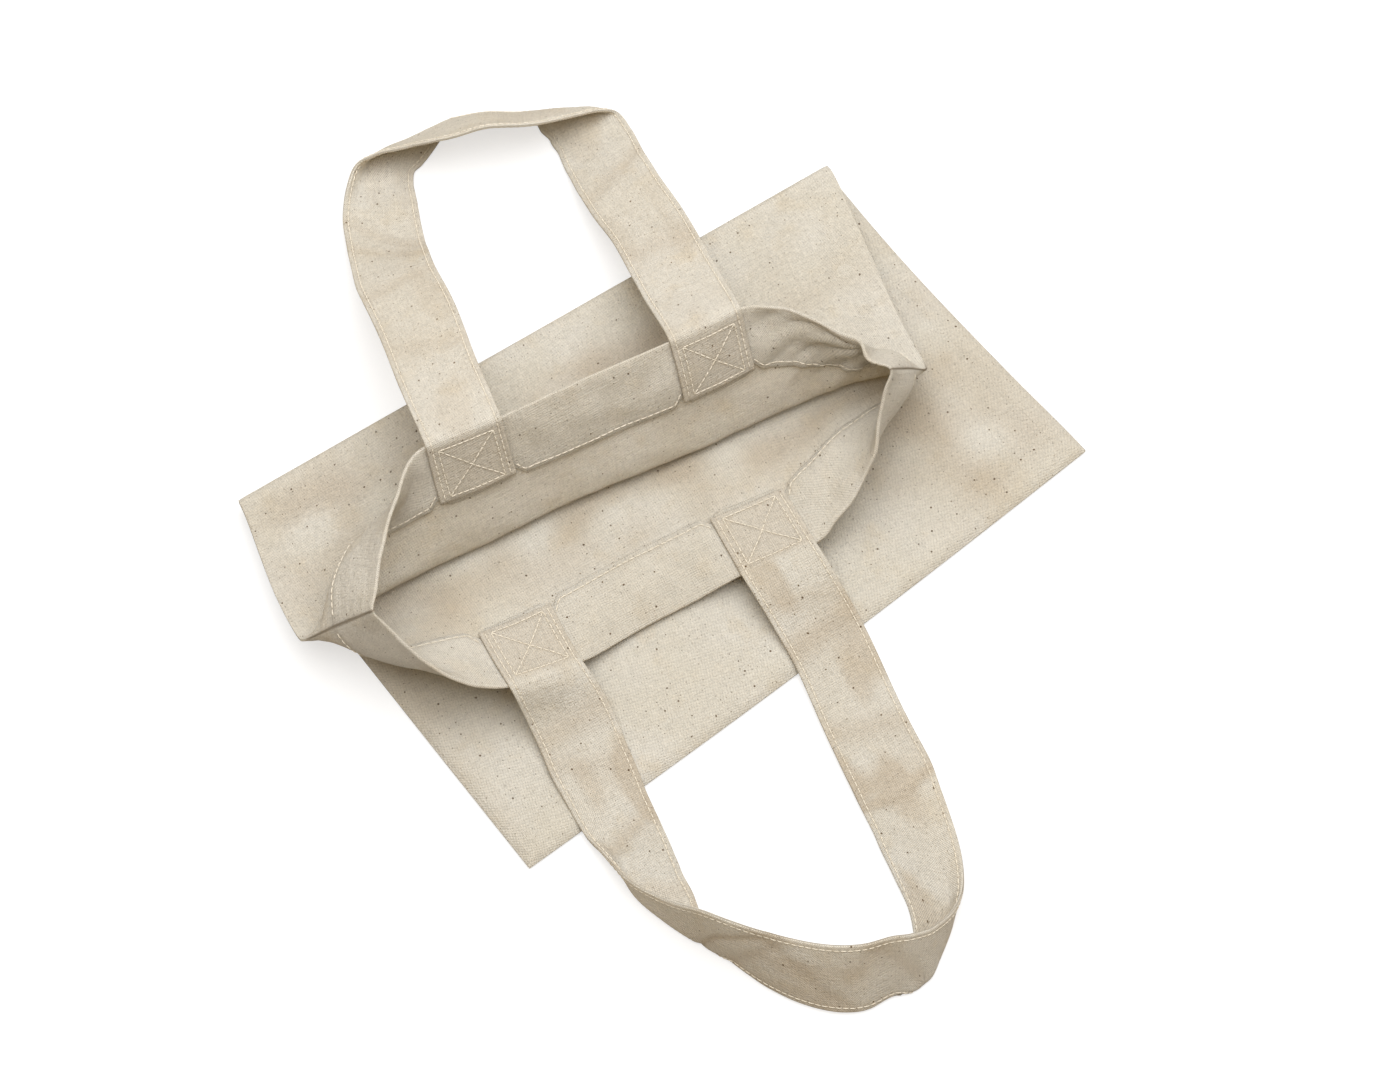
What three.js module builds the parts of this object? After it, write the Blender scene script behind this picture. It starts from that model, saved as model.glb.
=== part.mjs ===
// A plain cotton tote bag, laid on a table with its upper half folded back and its mouth held open.
// Millimetres, +Z up. The cloth rests on Z = 0, and the origin is the bottom centre of the whole bag's box.
import * as THREE from 'three';

// Cloth panels
const PANEL_WIDTH = 350;
const PANEL_HEIGHT = 400;
const CLOTH_THICKNESS = 0.6;
const PLY_CLEARANCE = 0.2; // from the shared seam line to the inner face of each panel
const INSIDE_SPACE = 3; // between the two panels where they lie on each other
const SEAM_ROUNDING = 0.9; // how soon that space opens, counted from a seam

// Hem along the mouth, turned to the inside
const HEM_DEPTH = 35;
const HEM_TURNED_THICKNESS = 1.2;
const HEM_STEP = 0.6; // run of the step at the lower edge of the hem
const HEM_CORNER_START = 4;
const HEM_CORNER_END = 16;

// Seam allowances inside the bag
const ALLOWANCE_WIDTH = 9;
const ALLOWANCE_THICKNESS = 1.2;
const ALLOWANCE_INSET = 2.2; // from the seam line
const ALLOWANCE_PAST_FOLD = 10; // how far the side allowances run on above the fold

// The fold that turns the upper half back over the lower half
const FOLD_LEFT_HEIGHT = 235; // cloth height at which the left seam starts to fold
const FOLD_RIGHT_HEIGHT = 201;
const FOLD_RADIUS = 6;

// Handles
const STRAP_WIDTH = 40;
const STRAP_THICKNESS = 1.8;
const STRAP_SPACING = 132; // between the middles of the two ends of one handle
const BACK_HANDLE_SHIFT = 0; // from the middle of the panel
const FRONT_HANDLE_SHIFT = -8;
const STRAP_END_INSET = 2; // from the lower edge of the hem to the sewn end of a strap
const LAYER_CLEARANCE = 0.3; // between the hem and a strap sewn onto it
const BEND_CLEARANCE = 0.9; // between the edge of the hem and a loop bending over it

// The lie of the opened mouth. Each point is a share across the panel, a share along it, and a height.
const BACK_MOUTH = [
  [0.022, 0.318, 69], [0.07, 0.36, 69], [0.14, 0.412, 70], [0.2, 0.4455, 71], [0.28, 0.431, 71],
  [0.455, 0.3995, 70], [0.63, 0.368, 69], [0.7, 0.3555, 69], [0.755, 0.316, 67], [0.79, 0.25, 67],
  [0.8, 0.182, 69],
];
const FRONT_MOUTH = [
  [0.022, 0.318, 69], [0.03, 0.275, 60], [0.058, 0.218, 44], [0.1, 0.182, 32], [0.174, 0.163, 26],
  [0.36, 0.137, 23], [0.547, 0.11, 21], [0.628, 0.105, 26], [0.69, 0.118, 40], [0.76, 0.158, 58],
  [0.8, 0.182, 69],
];
const BACK_BEND = [
  [-0.06, 0.383, 23], [0.03, 0.412, 25], [0.125, 0.405, 26], [0.234, 0.343, 24],
  [0.426, 0.305, 23], [0.6, 0.268, 23], [0.75, 0.235, 26], [0.886, 0.193, 23],
];
const FRONT_BEND = [
  [-0.06, 0.383, 23], [0.023, 0.352, 17], [0.114, 0.328, 14.5], [0.21, 0.31, 13],
  [0.394, 0.285, 12.5], [0.583, 0.252, 12.5], [0.714, 0.23, 14], [0.815, 0.21, 18], [0.886, 0.193, 23],
];
const BACK_FLAT = [
  [-0.048, 0.452, 19], [0.05, 0.468, 20], [0.15, 0.452, 20], [0.27, 0.405, 18],
  [0.45, 0.37, 17.5], [0.62, 0.335, 17.5], [0.78, 0.305, 19], [0.91, 0.27, 19],
];
const FRONT_FLAT = [
  [-0.048, 0.452, 19], [0.05, 0.44, 14], [0.15, 0.42, 12.5], [0.27, 0.397, 12],
  [0.45, 0.362, 12], [0.62, 0.327, 12], [0.78, 0.297, 14], [0.91, 0.27, 19],
];

// The lie of each handle, from its left end to its right end. Each station is its end (-1 left, 1 right,
// 0 between), its shift along the hem, its reach outwards from the hem, the clear height under the strap,
// how far the strap's outer edge rises, and how far it is swung inwards, the last two in degrees.
const BACK_HANDLE_LIE = [
  [-1, 6, 39, 61, 0, 182], [-1, 12, 78, 45, 0, 182], [-1, 15, 115, 27, 0, 186],
  [-1, 19, 142, 12, 4, 194], [-1, 26, 163, 3, 10, 195], [-1, 33, 179, 0.5, 21, 194],
  [-1, 44, 187, 0.5, 35, 184], [-1, 57, 187, 0.5, 48, 156], [0, 5, 187, 0.5, 54, 128],
  [0, 23, 185, 0.5, 55, 115], [0, 37, 180, 0.5, 55, 111], [0, 52, 174, 0.5, 54, 103],
  [1, -1, 167, 0.5, 51, 77], [1, 5, 161, 0.5, 42, 38], [1, 9, 157, 1, 27, 14],
  [1, 10, 149, 5, 12, 2], [1, 10, 120, 12, 4, -6], [1, 9, 84, 27, 0, -8], [1, 4, 35, 51, 0, 0],
];
const FRONT_HANDLE_LIE = [
  [-1, 4, 19, 15, 0, 176], [-1, 2, 52, 7, 0, 170], [-1, 2, 75, 4.5, 3, 166],
  [-1, 1, 93, 1, 14, 165], [-1, 3, 106, 0.5, 31, 166], [-1, 6, 120, 0.5, 48, 160],
  [-1, 9, 136, 0.5, 60, 130], [0, -50, 153, 0.5, 62, 88], [0, -40, 168, 0.5, 60, 73],
  [0, -27, 183, 0.5, 58, 67], [0, -12, 196, 0.5, 57, 66], [0, 5, 202, 0.5, 58, 67],
  [1, -45, 204, 0.5, 60, 66], [1, -33, 202, 0.5, 58, 46], [1, -24, 195, 0.5, 48, 12],
  [1, -19, 185, 0.5, 31, -3], [1, -13, 165, 1, 15, -14], [1, -7, 144, 4, 5, -12],
  [1, -4, 121, 6, 0, -5], [1, -2, 95, 6, 0, -3], [1, 3, 45, 11, 0, 0],
];

// Mesh steps
const COLUMNS = [0, 0.6, 1.4, 2.6, 5, 10, 16, 26, 38, 51];
const MIDDLE_COLUMNS = 3;
const STRAP_PARTS = 4;
const LOWER_ROWS = [0, 0.6, 1.4, 2.6, 6, 12, 40];
const FOLD_STEPS = 6;
const UPPER_ROWS = 9;
const STRAP_STEPS = 64;
const END_ROUNDING = [0.8, 1.35]; // radians round the half circle at each end of a loop
const TANGENT_STEP = 0.05;

const CALICO = '#d8cdb8';
const CALICO_INSIDE = '#d3c5aa';
const STRAP_CALICO = '#cfc3ad';

const seamHeight = CLOTH_THICKNESS + PLY_CLEARANCE;
const foldTilt = Math.atan2(FOLD_RIGHT_HEIGHT - FOLD_LEFT_HEIGHT, PANEL_WIDTH);
const foldAlong = new THREE.Vector3(Math.cos(foldTilt), Math.sin(foldTilt), 0);
const foldAcross = new THREE.Vector3(-Math.sin(foldTilt), Math.cos(foldTilt), 0);
const foldRun = Math.PI * FOLD_RADIUS / Math.cos(foldTilt);

const up = new THREE.Vector3(0, 0, 1);
const smooth = (low, high, value) => THREE.MathUtils.smoothstep(value, low, high);

function clothMaterial(color) {
  return new THREE.MeshStandardMaterial({ color, roughness: 0.9, metalness: 0 });
}

function drapeCurve(points) {
  const places = points.map(([across, along, height]) => (
    new THREE.Vector3(across * PANEL_WIDTH, along * PANEL_HEIGHT, height)));
  return new THREE.CatmullRomCurve3(places, false, 'centripetal');
}

// How far the front panel lies inside the back panel. It closes to nothing at the side seams and the bottom.
function insideSpace(across, along) {
  const toSeam = Math.min(across, PANEL_WIDTH - across, along);
  return INSIDE_SPACE * (1 - Math.exp(-Math.max(0, toSeam) / SEAM_ROUNDING));
}

// One panel's inner face as a function of cloth sizes: across from the left seam, along from the bottom seam.
class Panel {
  constructor(mouth, bend, flat, isFront, handleShift) {
    this.rows = [flat, bend, mouth].map(drapeCurve);
    this.isFront = isFront;
    this.handleShift = handleShift;
    this.columns = new Map();
  }

  foldHeight(across) {
    return FOLD_LEFT_HEIGHT + across * Math.tan(foldTilt);
  }

  foldPlace(across, along) {
    const past = along - this.foldHeight(across);
    const turn = past / foldRun * Math.PI;
    const radius = FOLD_RADIUS - this.layer(across, along);
    const place = new THREE.Vector3(across, this.foldHeight(across), seamHeight + FOLD_RADIUS);
    place.addScaledVector(foldAlong, past * Math.sin(foldTilt));
    place.addScaledVector(foldAcross, radius * Math.sin(turn));
    place.z -= radius * Math.cos(turn);
    return place;
  }

  layer(across, along) {
    return this.isFront ? insideSpace(across, along) : 0;
  }

  // The upper half of one column of cloth, from the end of the fold to the mouth.
  upperColumn(across) {
    if (!this.columns.has(across)) {
      const share = THREE.MathUtils.clamp(across / PANEL_WIDTH, 0, 1);
      const start = this.foldPlace(across, this.foldHeight(across) + foldRun);
      const lead = start.clone().addScaledVector(foldAcross, FOLD_RADIUS);
      const places = [lead, start, ...this.rows.map((row) => row.getPointAt(share))];
      const curve = new THREE.CatmullRomCurve3(places, false, 'centripetal');
      const skip = 1 / (places.length - 1);
      const steps = 60;
      const lengths = [0];
      for (let i = 1; i <= steps; i += 1) {
        const before = curve.getPoint(skip + (1 - skip) * (i - 1) / steps);
        lengths.push(lengths[i - 1] + before.distanceTo(curve.getPoint(skip + (1 - skip) * i / steps)));
      }
      this.columns.set(across, { curve, skip, steps, lengths });
    }
    return this.columns.get(across);
  }

  // A place on the upper half, by the share of its length from the fold's end to the mouth.
  upperPlace(across, share) {
    const { curve, skip, steps, lengths } = this.upperColumn(across);
    const target = share * lengths[steps];
    let i = 1;
    while (i < steps && lengths[i] < target) i += 1;
    const within = (target - lengths[i - 1]) / (lengths[i] - lengths[i - 1]);
    return curve.getPoint(skip + (1 - skip) * Math.min(1, (i - 1 + within) / steps));
  }

  upperShare(across, along) {
    const foldEnd = this.foldHeight(across) + foldRun;
    return (along - foldEnd) / (PANEL_HEIGHT - foldEnd);
  }

  place(across, along) {
    const fold = this.foldHeight(across);
    if (along <= fold) return new THREE.Vector3(across, along, seamHeight + this.layer(across, along));
    if (along <= fold + foldRun) return this.foldPlace(across, along);
    return this.upperPlace(across, this.upperShare(across, along));
  }

  // Unit vector out of the bag.
  outward(across, along) {
    const left = Math.max(0, across - TANGENT_STEP);
    const right = Math.min(PANEL_WIDTH, across + TANGENT_STEP);
    const low = Math.max(0, along - TANGENT_STEP);
    const high = Math.min(PANEL_HEIGHT, along + TANGENT_STEP);
    const acrossStep = this.place(right, along).sub(this.place(left, along));
    const alongStep = this.place(across, high).sub(this.place(across, low));
    const normal = acrossStep.cross(alongStep).normalize();
    return this.isFront ? normal : normal.negate();
  }

  offsetPlace(across, along, offset) {
    return this.place(across, along).addScaledVector(this.outward(across, along), offset);
  }

  // Where the two ends of the panel's handle are sewn, counted from the left seam.
  strapMiddles() {
    return [-1, 1].map((end) => PANEL_WIDTH / 2 + this.handleShift + end * STRAP_SPACING / 2);
  }

  // How far the turned hem stands into the bag from the panel's inner face.
  hemOffset(across, along) {
    const toSeam = Math.min(across, PANEL_WIDTH - across);
    const corner = smooth(HEM_CORNER_START, HEM_CORNER_END, toSeam);
    const lower = PANEL_HEIGHT - HEM_DEPTH;
    return HEM_TURNED_THICKNESS * corner * THREE.MathUtils.clamp((along - lower) / HEM_STEP, 0, 1);
  }
}

// A closed sheet between two grids of places, each grid a list of rows.
function sheetGeometry(inner, outer) {
  const rows = inner.length;
  const columns = inner[0].length;
  const positions = [...inner.flat(), ...outer.flat()].flatMap((place) => place.toArray());
  const index = [];
  const at = (side, row, column) => side * rows * columns + row * columns + column;
  const quad = (a, b, c, d) => index.push(a, b, c, a, c, d);
  for (let row = 0; row + 1 < rows; row += 1) {
    for (let column = 0; column + 1 < columns; column += 1) {
      quad(at(0, row, column), at(0, row + 1, column), at(0, row + 1, column + 1), at(0, row, column + 1));
      quad(at(1, row, column), at(1, row, column + 1), at(1, row + 1, column + 1), at(1, row + 1, column));
    }
  }
  for (let row = 0; row + 1 < rows; row += 1) {
    const last = columns - 1;
    quad(at(0, row, 0), at(1, row, 0), at(1, row + 1, 0), at(0, row + 1, 0));
    quad(at(0, row, last), at(0, row + 1, last), at(1, row + 1, last), at(1, row, last));
  }
  for (let column = 0; column + 1 < columns; column += 1) {
    const last = rows - 1;
    quad(at(0, 0, column), at(0, 0, column + 1), at(1, 0, column + 1), at(1, 0, column));
    quad(at(0, last, column), at(1, last, column), at(1, last, column + 1), at(0, last, column + 1));
  }
  const geometry = new THREE.BufferGeometry();
  geometry.setAttribute('position', new THREE.Float32BufferAttribute(positions, 3));
  geometry.setIndex(index);
  return geometry;
}

// Turns a closed geometry's faces outwards if its volume counts as negative.
function facingOut(geometry) {
  const places = geometry.getAttribute('position');
  const corner = (i) => new THREE.Vector3().fromBufferAttribute(places, geometry.index.array[i]);
  let volume = 0;
  for (let i = 0; i < geometry.index.count; i += 3) {
    volume += corner(i).dot(corner(i + 1).cross(corner(i + 2)));
  }
  if (volume < 0) geometry.index.array.reverse();
  geometry.computeVertexNormals();
  return geometry;
}

// Equal parts from one number to another, with or without the two ends.
function partsBetween(from, to, parts) {
  return Array.from({ length: parts + 1 }, (unused, i) => from + (to - from) * i / parts);
}

function insideParts(from, to, parts) {
  return partsBetween(from, to, parts).slice(1, -1);
}

function strapColumns(middle) {
  return partsBetween(middle - STRAP_WIDTH / 2, middle + STRAP_WIDTH / 2, STRAP_PARTS);
}

function strapRows() {
  return partsBetween(PANEL_HEIGHT - HEM_DEPTH + STRAP_END_INSET, PANEL_HEIGHT, STRAP_PARTS);
}

// Columns of a panel: close together at the side seams, and matching the strap ends that lie on it.
function acrossSteps(panel) {
  const [left, right] = panel.strapMiddles().map(strapColumns);
  const edge = COLUMNS.at(-1);
  return [
    ...COLUMNS,
    ...insideParts(edge, left[0], 2),
    ...left,
    ...insideParts(left.at(-1), right[0], MIDDLE_COLUMNS + 1),
    ...right,
    ...insideParts(right.at(-1), PANEL_WIDTH - edge, 2),
    ...COLUMNS.map((step) => PANEL_WIDTH - step).reverse(),
  ];
}

// Rows from the middle of the lower half, round the fold and up to a given height of cloth.
function upperSteps(fold, top, parts) {
  const foldEnd = fold + foldRun;
  const round = partsBetween(fold, foldEnd, FOLD_STEPS);
  const above = partsBetween(foldEnd, top, parts);
  return [fold / 2, ...round, ...above.slice(1)];
}

// Rows of one column: the lower half, round the fold, the upper half, and the hem with its step.
function alongSteps(panel, across) {
  const hem = PANEL_HEIGHT - HEM_DEPTH;
  const upper = upperSteps(panel.foldHeight(across), hem, UPPER_ROWS);
  return [...LOWER_ROWS, ...upper, hem + HEM_STEP, ...strapRows()];
}

function panelGeometry(panel) {
  const columns = acrossSteps(panel);
  const rowCount = alongSteps(panel, 0).length;
  const grid = (offset) => Array.from({ length: rowCount }, (unused, row) => columns.map((across) => {
    const along = alongSteps(panel, across)[row];
    return panel.offsetPlace(across, along, offset(across, along));
  }));
  const inner = grid((across, along) => PLY_CLEARANCE - panel.hemOffset(across, along));
  const outer = grid(() => PLY_CLEARANCE + CLOTH_THICKNESS);
  return facingOut(sheetGeometry(inner, outer));
}

const backPanel = new Panel(BACK_MOUTH, BACK_BEND, BACK_FLAT, false, BACK_HANDLE_SHIFT);
const frontPanel = new Panel(FRONT_MOUTH, FRONT_BEND, FRONT_FLAT, true, FRONT_HANDLE_SHIFT);

// A strip of turned-in cloth midway between the two panels.
function allowanceGeometry(path) {
  const inner = [];
  const outer = [];
  path.forEach((pair) => {
    const low = [];
    const high = [];
    pair.forEach(([across, along]) => {
      const back = backPanel.place(across, along);
      const front = frontPanel.place(across, along);
      const through = front.clone().sub(back).normalize().multiplyScalar(ALLOWANCE_THICKNESS / 2);
      const middle = back.lerp(front, 0.5);
      low.push(middle.clone().sub(through));
      high.push(middle.clone().add(through));
    });
    inner.push(low);
    outer.push(high);
  });
  return facingOut(sheetGeometry(inner, outer));
}

function sideAllowance(isLeft) {
  const start = 2 * ALLOWANCE_INSET + ALLOWANCE_WIDTH;
  const insets = partsBetween(ALLOWANCE_INSET, ALLOWANCE_INSET + ALLOWANCE_WIDTH, 3);
  const columns = insets.map((inset) => (isLeft ? inset : PANEL_WIDTH - inset));
  const rowsOf = (across) => {
    const fold = backPanel.foldHeight(across);
    return [start, ...upperSteps(fold, fold + foldRun + ALLOWANCE_PAST_FOLD, 2)];
  };
  const rowCount = rowsOf(0).length;
  return allowanceGeometry(Array.from({ length: rowCount }, (unused, row) => (
    columns.map((across) => [across, rowsOf(across)[row]]))));
}

function bottomAllowance() {
  const ends = [ALLOWANCE_INSET, PANEL_WIDTH - ALLOWANCE_INSET];
  const upper = ALLOWANCE_INSET + ALLOWANCE_WIDTH;
  return allowanceGeometry(ends.map((across) => [[across, ALLOWANCE_INSET], [across, upper]]));
}

// The sewn end of a strap, lying on the inner face of the hem.
function strapEndGeometry(panel, middle) {
  const hemFace = HEM_TURNED_THICKNESS - PLY_CLEARANCE;
  const grid = (offset) => strapRows().map((along) => strapColumns(middle).map((across) => (
    panel.offsetPlace(across, along, -hemFace - offset))));
  return facingOut(sheetGeometry(grid(LAYER_CLEARANCE), grid(LAYER_CLEARANCE + STRAP_THICKNESS)));
}

// The line along which a handle bends over the hem: one point in the middle of each sewn end's upper edge.
function bendLine(panel) {
  const depth = HEM_TURNED_THICKNESS - PLY_CLEARANCE + LAYER_CLEARANCE + STRAP_THICKNESS / 2;
  const rise = STRAP_THICKNESS / 2 + BEND_CLEARANCE;
  return panel.strapMiddles().map((across) => {
    const edge = panel.offsetPlace(across, PANEL_HEIGHT, -depth);
    const below = panel.offsetPlace(across, PANEL_HEIGHT - rise, -depth);
    return edge.addScaledVector(edge.clone().sub(below).normalize(), rise);
  });
}

// The middle line of a handle and the way across it to its outer edge, in steps from left to right.
function handlePath([left, right], lie, outwardSide) {
  const middle = left.clone().lerp(right, 0.5);
  const along = right.clone().sub(left).setZ(0).normalize();
  const outwards = up.clone().cross(along).multiplyScalar(outwardSide);
  const half = STRAP_THICKNESS / 2;
  const ends = [left, right].map((end) => end.clone().setZ(end.z - half));
  const between = lie.map(([end, shift, reach, clear]) => (
    middle.clone().setZ(clear)
      .addScaledVector(along, end * STRAP_SPACING / 2 + shift)
      .addScaledVector(outwards, reach)));
  const route = new THREE.CatmullRomCurve3([ends[0], ...between, ends[1]], false, 'centripetal');
  const turns = [[0, 180], ...lie.map((station) => station.slice(4)), [0, 0]];
  const turnRoute = new THREE.CatmullRomCurve3(turns.map((turn, i) => new THREE.Vector3(i, ...turn)));
  return partsBetween(0, 1, STRAP_STEPS).map((share) => {
    const turn = turnRoute.getPoint(share);
    const rise = THREE.MathUtils.degToRad(turn.y);
    const swing = THREE.MathUtils.degToRad(turn.z);
    const centre = route.getPoint(share);
    centre.z += STRAP_WIDTH / 2 * Math.abs(Math.sin(rise)) + half * Math.cos(rise);
    const widthWay = up.clone().multiplyScalar(Math.sin(rise))
      .addScaledVector(along, Math.cos(rise) * Math.cos(swing))
      .addScaledVector(outwards, -Math.cos(rise) * Math.sin(swing));
    return { centre, widthWay };
  });
}

// The free loop of a handle: a flat strap whose rounded ends turn on the bend line.
function handleGeometry(line, lie, outwardSide) {
  const path = handlePath(line, lie, outwardSide);
  const bendWay = line[1].clone().sub(line[0]).normalize();
  path[0].widthWay.copy(bendWay).negate();
  path[STRAP_STEPS].widthWay.copy(bendWay);
  const inner = [];
  const outer = [];
  const addRing = (centre, widthWay, thickWay, thickness) => [inner, outer].forEach((side, i) => {
    const face = centre.clone().addScaledVector(thickWay, (i - 0.5) * thickness);
    side.push([-1, 1].map((edge) => face.clone().addScaledVector(widthWay, edge * STRAP_WIDTH / 2)));
  });
  path.forEach(({ centre, widthWay }, i) => {
    const before = path[Math.max(0, i - 1)].centre;
    const after = path[Math.min(STRAP_STEPS, i + 1)].centre;
    const forward = after.clone().sub(before);
    forward.addScaledVector(widthWay, -forward.dot(widthWay)).normalize();
    const thickWay = forward.clone().cross(widthWay);
    const addEnd = (way, angles) => angles.forEach((angle) => addRing(
      centre.clone().addScaledVector(forward, way * Math.sin(angle) * STRAP_THICKNESS / 2),
      widthWay, thickWay, Math.cos(angle) * STRAP_THICKNESS));
    if (i === 0) addEnd(-1, END_ROUNDING.toReversed());
    addRing(centre, widthWay, thickWay, STRAP_THICKNESS);
    if (i === STRAP_STEPS) addEnd(1, END_ROUNDING);
  });
  return facingOut(sheetGeometry(inner, outer));
}

const bag = new THREE.Group();

function addPiece(name, geometry, color) {
  const mesh = new THREE.Mesh(geometry, clothMaterial(color));
  mesh.name = name;
  bag.add(mesh);
}

addPiece('back_panel', panelGeometry(backPanel), CALICO);
addPiece('front_panel', panelGeometry(frontPanel), CALICO);
addPiece('left_seam_allowance', sideAllowance(true), CALICO_INSIDE);
addPiece('right_seam_allowance', sideAllowance(false), CALICO_INSIDE);
addPiece('bottom_seam_allowance', bottomAllowance(), CALICO_INSIDE);

const handles = [
  { name: 'back_handle', panel: backPanel, lie: BACK_HANDLE_LIE, outwardSide: 1 },
  { name: 'front_handle', panel: frontPanel, lie: FRONT_HANDLE_LIE, outwardSide: -1 },
];
for (const { name, panel, lie, outwardSide } of handles) {
  const [left, right] = panel.strapMiddles();
  const line = bendLine(panel);
  addPiece(`${name}_left_end`, strapEndGeometry(panel, left), STRAP_CALICO);
  addPiece(`${name}_right_end`, strapEndGeometry(panel, right), STRAP_CALICO);
  addPiece(`${name}_loop`, handleGeometry(line, lie, outwardSide), STRAP_CALICO);
  bag.userData[name] = line;
}

const box = new THREE.Box3().setFromObject(bag);
const centre = box.getCenter(new THREE.Vector3());
bag.position.set(-centre.x, -centre.y, -box.min.z);

export default bag;
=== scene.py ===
"""A plain cotton tote bag on a table, its upper half folded back and its mouth held open.

Sizes of cloth are in millimetres, in the bag's own plan: across from the left seam, along from the bottom
seam, and height above the table. Meshes are handed to Blender in metres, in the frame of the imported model.
"""

import logging
import math
from dataclasses import dataclass, field
from enum import Enum
from typing import Any, Union

import bmesh
import bpy
import numpy as np
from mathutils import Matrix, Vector


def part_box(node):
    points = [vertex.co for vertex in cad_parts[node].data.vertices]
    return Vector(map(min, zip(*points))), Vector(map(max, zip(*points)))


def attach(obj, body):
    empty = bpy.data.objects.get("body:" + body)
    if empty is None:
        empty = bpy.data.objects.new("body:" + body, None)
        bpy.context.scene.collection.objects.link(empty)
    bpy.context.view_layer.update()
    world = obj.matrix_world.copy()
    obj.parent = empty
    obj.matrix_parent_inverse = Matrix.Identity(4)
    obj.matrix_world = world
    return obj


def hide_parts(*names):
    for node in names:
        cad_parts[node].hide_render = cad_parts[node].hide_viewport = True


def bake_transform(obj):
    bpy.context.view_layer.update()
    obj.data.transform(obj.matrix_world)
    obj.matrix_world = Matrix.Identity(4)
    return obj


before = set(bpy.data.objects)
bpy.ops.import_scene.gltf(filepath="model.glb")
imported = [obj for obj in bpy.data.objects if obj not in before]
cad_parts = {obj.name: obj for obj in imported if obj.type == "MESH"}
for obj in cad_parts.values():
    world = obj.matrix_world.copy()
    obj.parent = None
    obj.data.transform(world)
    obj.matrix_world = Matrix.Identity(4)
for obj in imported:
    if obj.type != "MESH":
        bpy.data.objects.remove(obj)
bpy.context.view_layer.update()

LOG = logging.getLogger("tote")
CLOTH = "cloth"  # the attribute that keeps each vertex's place on the flat cut, in metres
TONE = "tone"  # the attribute that keeps how layered, how near a seam and how shaded the cloth is, each painted as shade
MILLIMETRE = 0.001
WELD = 1e-7  # points nearer than this are one, in metres
HEM_LINE = 2.2  # from the lower edge of a hem to its stitches, in millimetres
HAIR = 0.05  # the least space left between two pieces, in millimetres

Drop = tuple[float, float, float]
Place = tuple[float, float, float]
Section = tuple[Place, Place, Place]


@dataclass(frozen=True)
class Cut:
    """The sizes the bag was cut and sewn to, in millimetres."""

    width: float = 350.0
    height: float = 400.0
    hem: float = 35.0
    cloth: float = 0.6
    clearance: float = 0.2  # between the table and the lower cloth
    seat: float = 0.5  # from the shared seam line to the middle of a panel's cloth
    seam_seat: float = 0.29
    inside: float = 1.5
    ridge: float = 0.7  # how far a seam allowance lifts the cloth over it
    allowance_inset: float = 2.2
    allowance_width: float = 9.0
    fold_left: float = 232.6
    fold_right: float = 198.6
    fold_radius: float = 6.0
    strap_width: float = 40.0
    strap_thickness: float = 1.8
    strap_spacing: float = 132.0

    @property
    def table_clear(self) -> float:
        """Height of the seam line over the table."""
        return self.cloth + self.clearance

    @property
    def fold_tilt(self) -> float:
        """Angle of the fold line to the bottom seam, in radians."""
        return math.atan2(self.fold_right - self.fold_left, self.width)

    @property
    def fold_run(self) -> float:
        """Length of cloth round the fold."""
        return math.pi * self.fold_radius / math.cos(self.fold_tilt)


CUT = Cut()
ALONG_FOLD = np.array([math.cos(CUT.fold_tilt), math.sin(CUT.fold_tilt), 0.0])
ACROSS_FOLD = np.array([-math.sin(CUT.fold_tilt), math.cos(CUT.fold_tilt), 0.0])
UP = np.array([0.0, 0.0, 1.0])


def smooth(low: float, high: float, value: Any) -> Any:
    """An easy step from 0 at low to 1 at high."""
    share = np.clip((np.asarray(value, dtype=float) - low) / (high - low), 0.0, 1.0)
    return share * share * (3.0 - 2.0 * share)


def unit(vectors: np.ndarray) -> np.ndarray:
    """The same vectors with length one."""
    return vectors / np.maximum(np.linalg.norm(vectors, axis=-1, keepdims=True), 1e-12)


def to_seam_side(across: np.ndarray) -> np.ndarray:
    """Distance to the nearer side seam."""
    return np.minimum(across, CUT.width - across)


def travelled_along(places: np.ndarray) -> np.ndarray:
    """Length from the first of a row of points to each of them."""
    steps = np.linalg.norm(np.diff(places, axis=0), axis=1)
    return np.concatenate([[0.0], np.cumsum(steps)])


def read_line(marks: np.ndarray, lengths: np.ndarray, vectors: np.ndarray) -> np.ndarray:
    """Vectors of a row of points, read at marks along its lengths."""
    return np.stack([np.interp(marks, lengths, vectors[:, axis]) for axis in range(3)], axis=1)


def read_grid(grid: np.ndarray, rows: np.ndarray, columns: np.ndarray) -> np.ndarray:
    """Vectors of a grid, read between its points.

    Args:
        grid: Rows by columns by axes.
        rows: Places down the grid, counted in rows.
        columns: Places across the grid, counted in columns.

    Returns:
        One vector per place.
    """
    low = np.minimum(rows.astype(int), grid.shape[0] - 2)
    left = np.minimum(columns.astype(int), grid.shape[1] - 2)
    x, y = (columns - left)[:, None], (rows - low)[:, None]
    first = grid[low, left] * (1 - x) + grid[low, left + 1] * x
    second = grid[low + 1, left] * (1 - x) + grid[low + 1, left + 1] * x
    return first * (1 - y) + second * y


def to_row(places: np.ndarray) -> np.ndarray:
    """Places of the bag's plan, in millimetres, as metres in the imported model's frame.

    Args:
        places: Points of the bag's plan, in millimetres.

    Returns:
        The same points, in metres.
    """
    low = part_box("bottom_seam_allowance")[0]
    corner = np.array([low[0], low[1], 0.0]) - MILLIMETRE * CUT.allowance_inset * np.array([1.0, 1.0, 0.0])
    return np.asarray(places) * MILLIMETRE + corner


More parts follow.
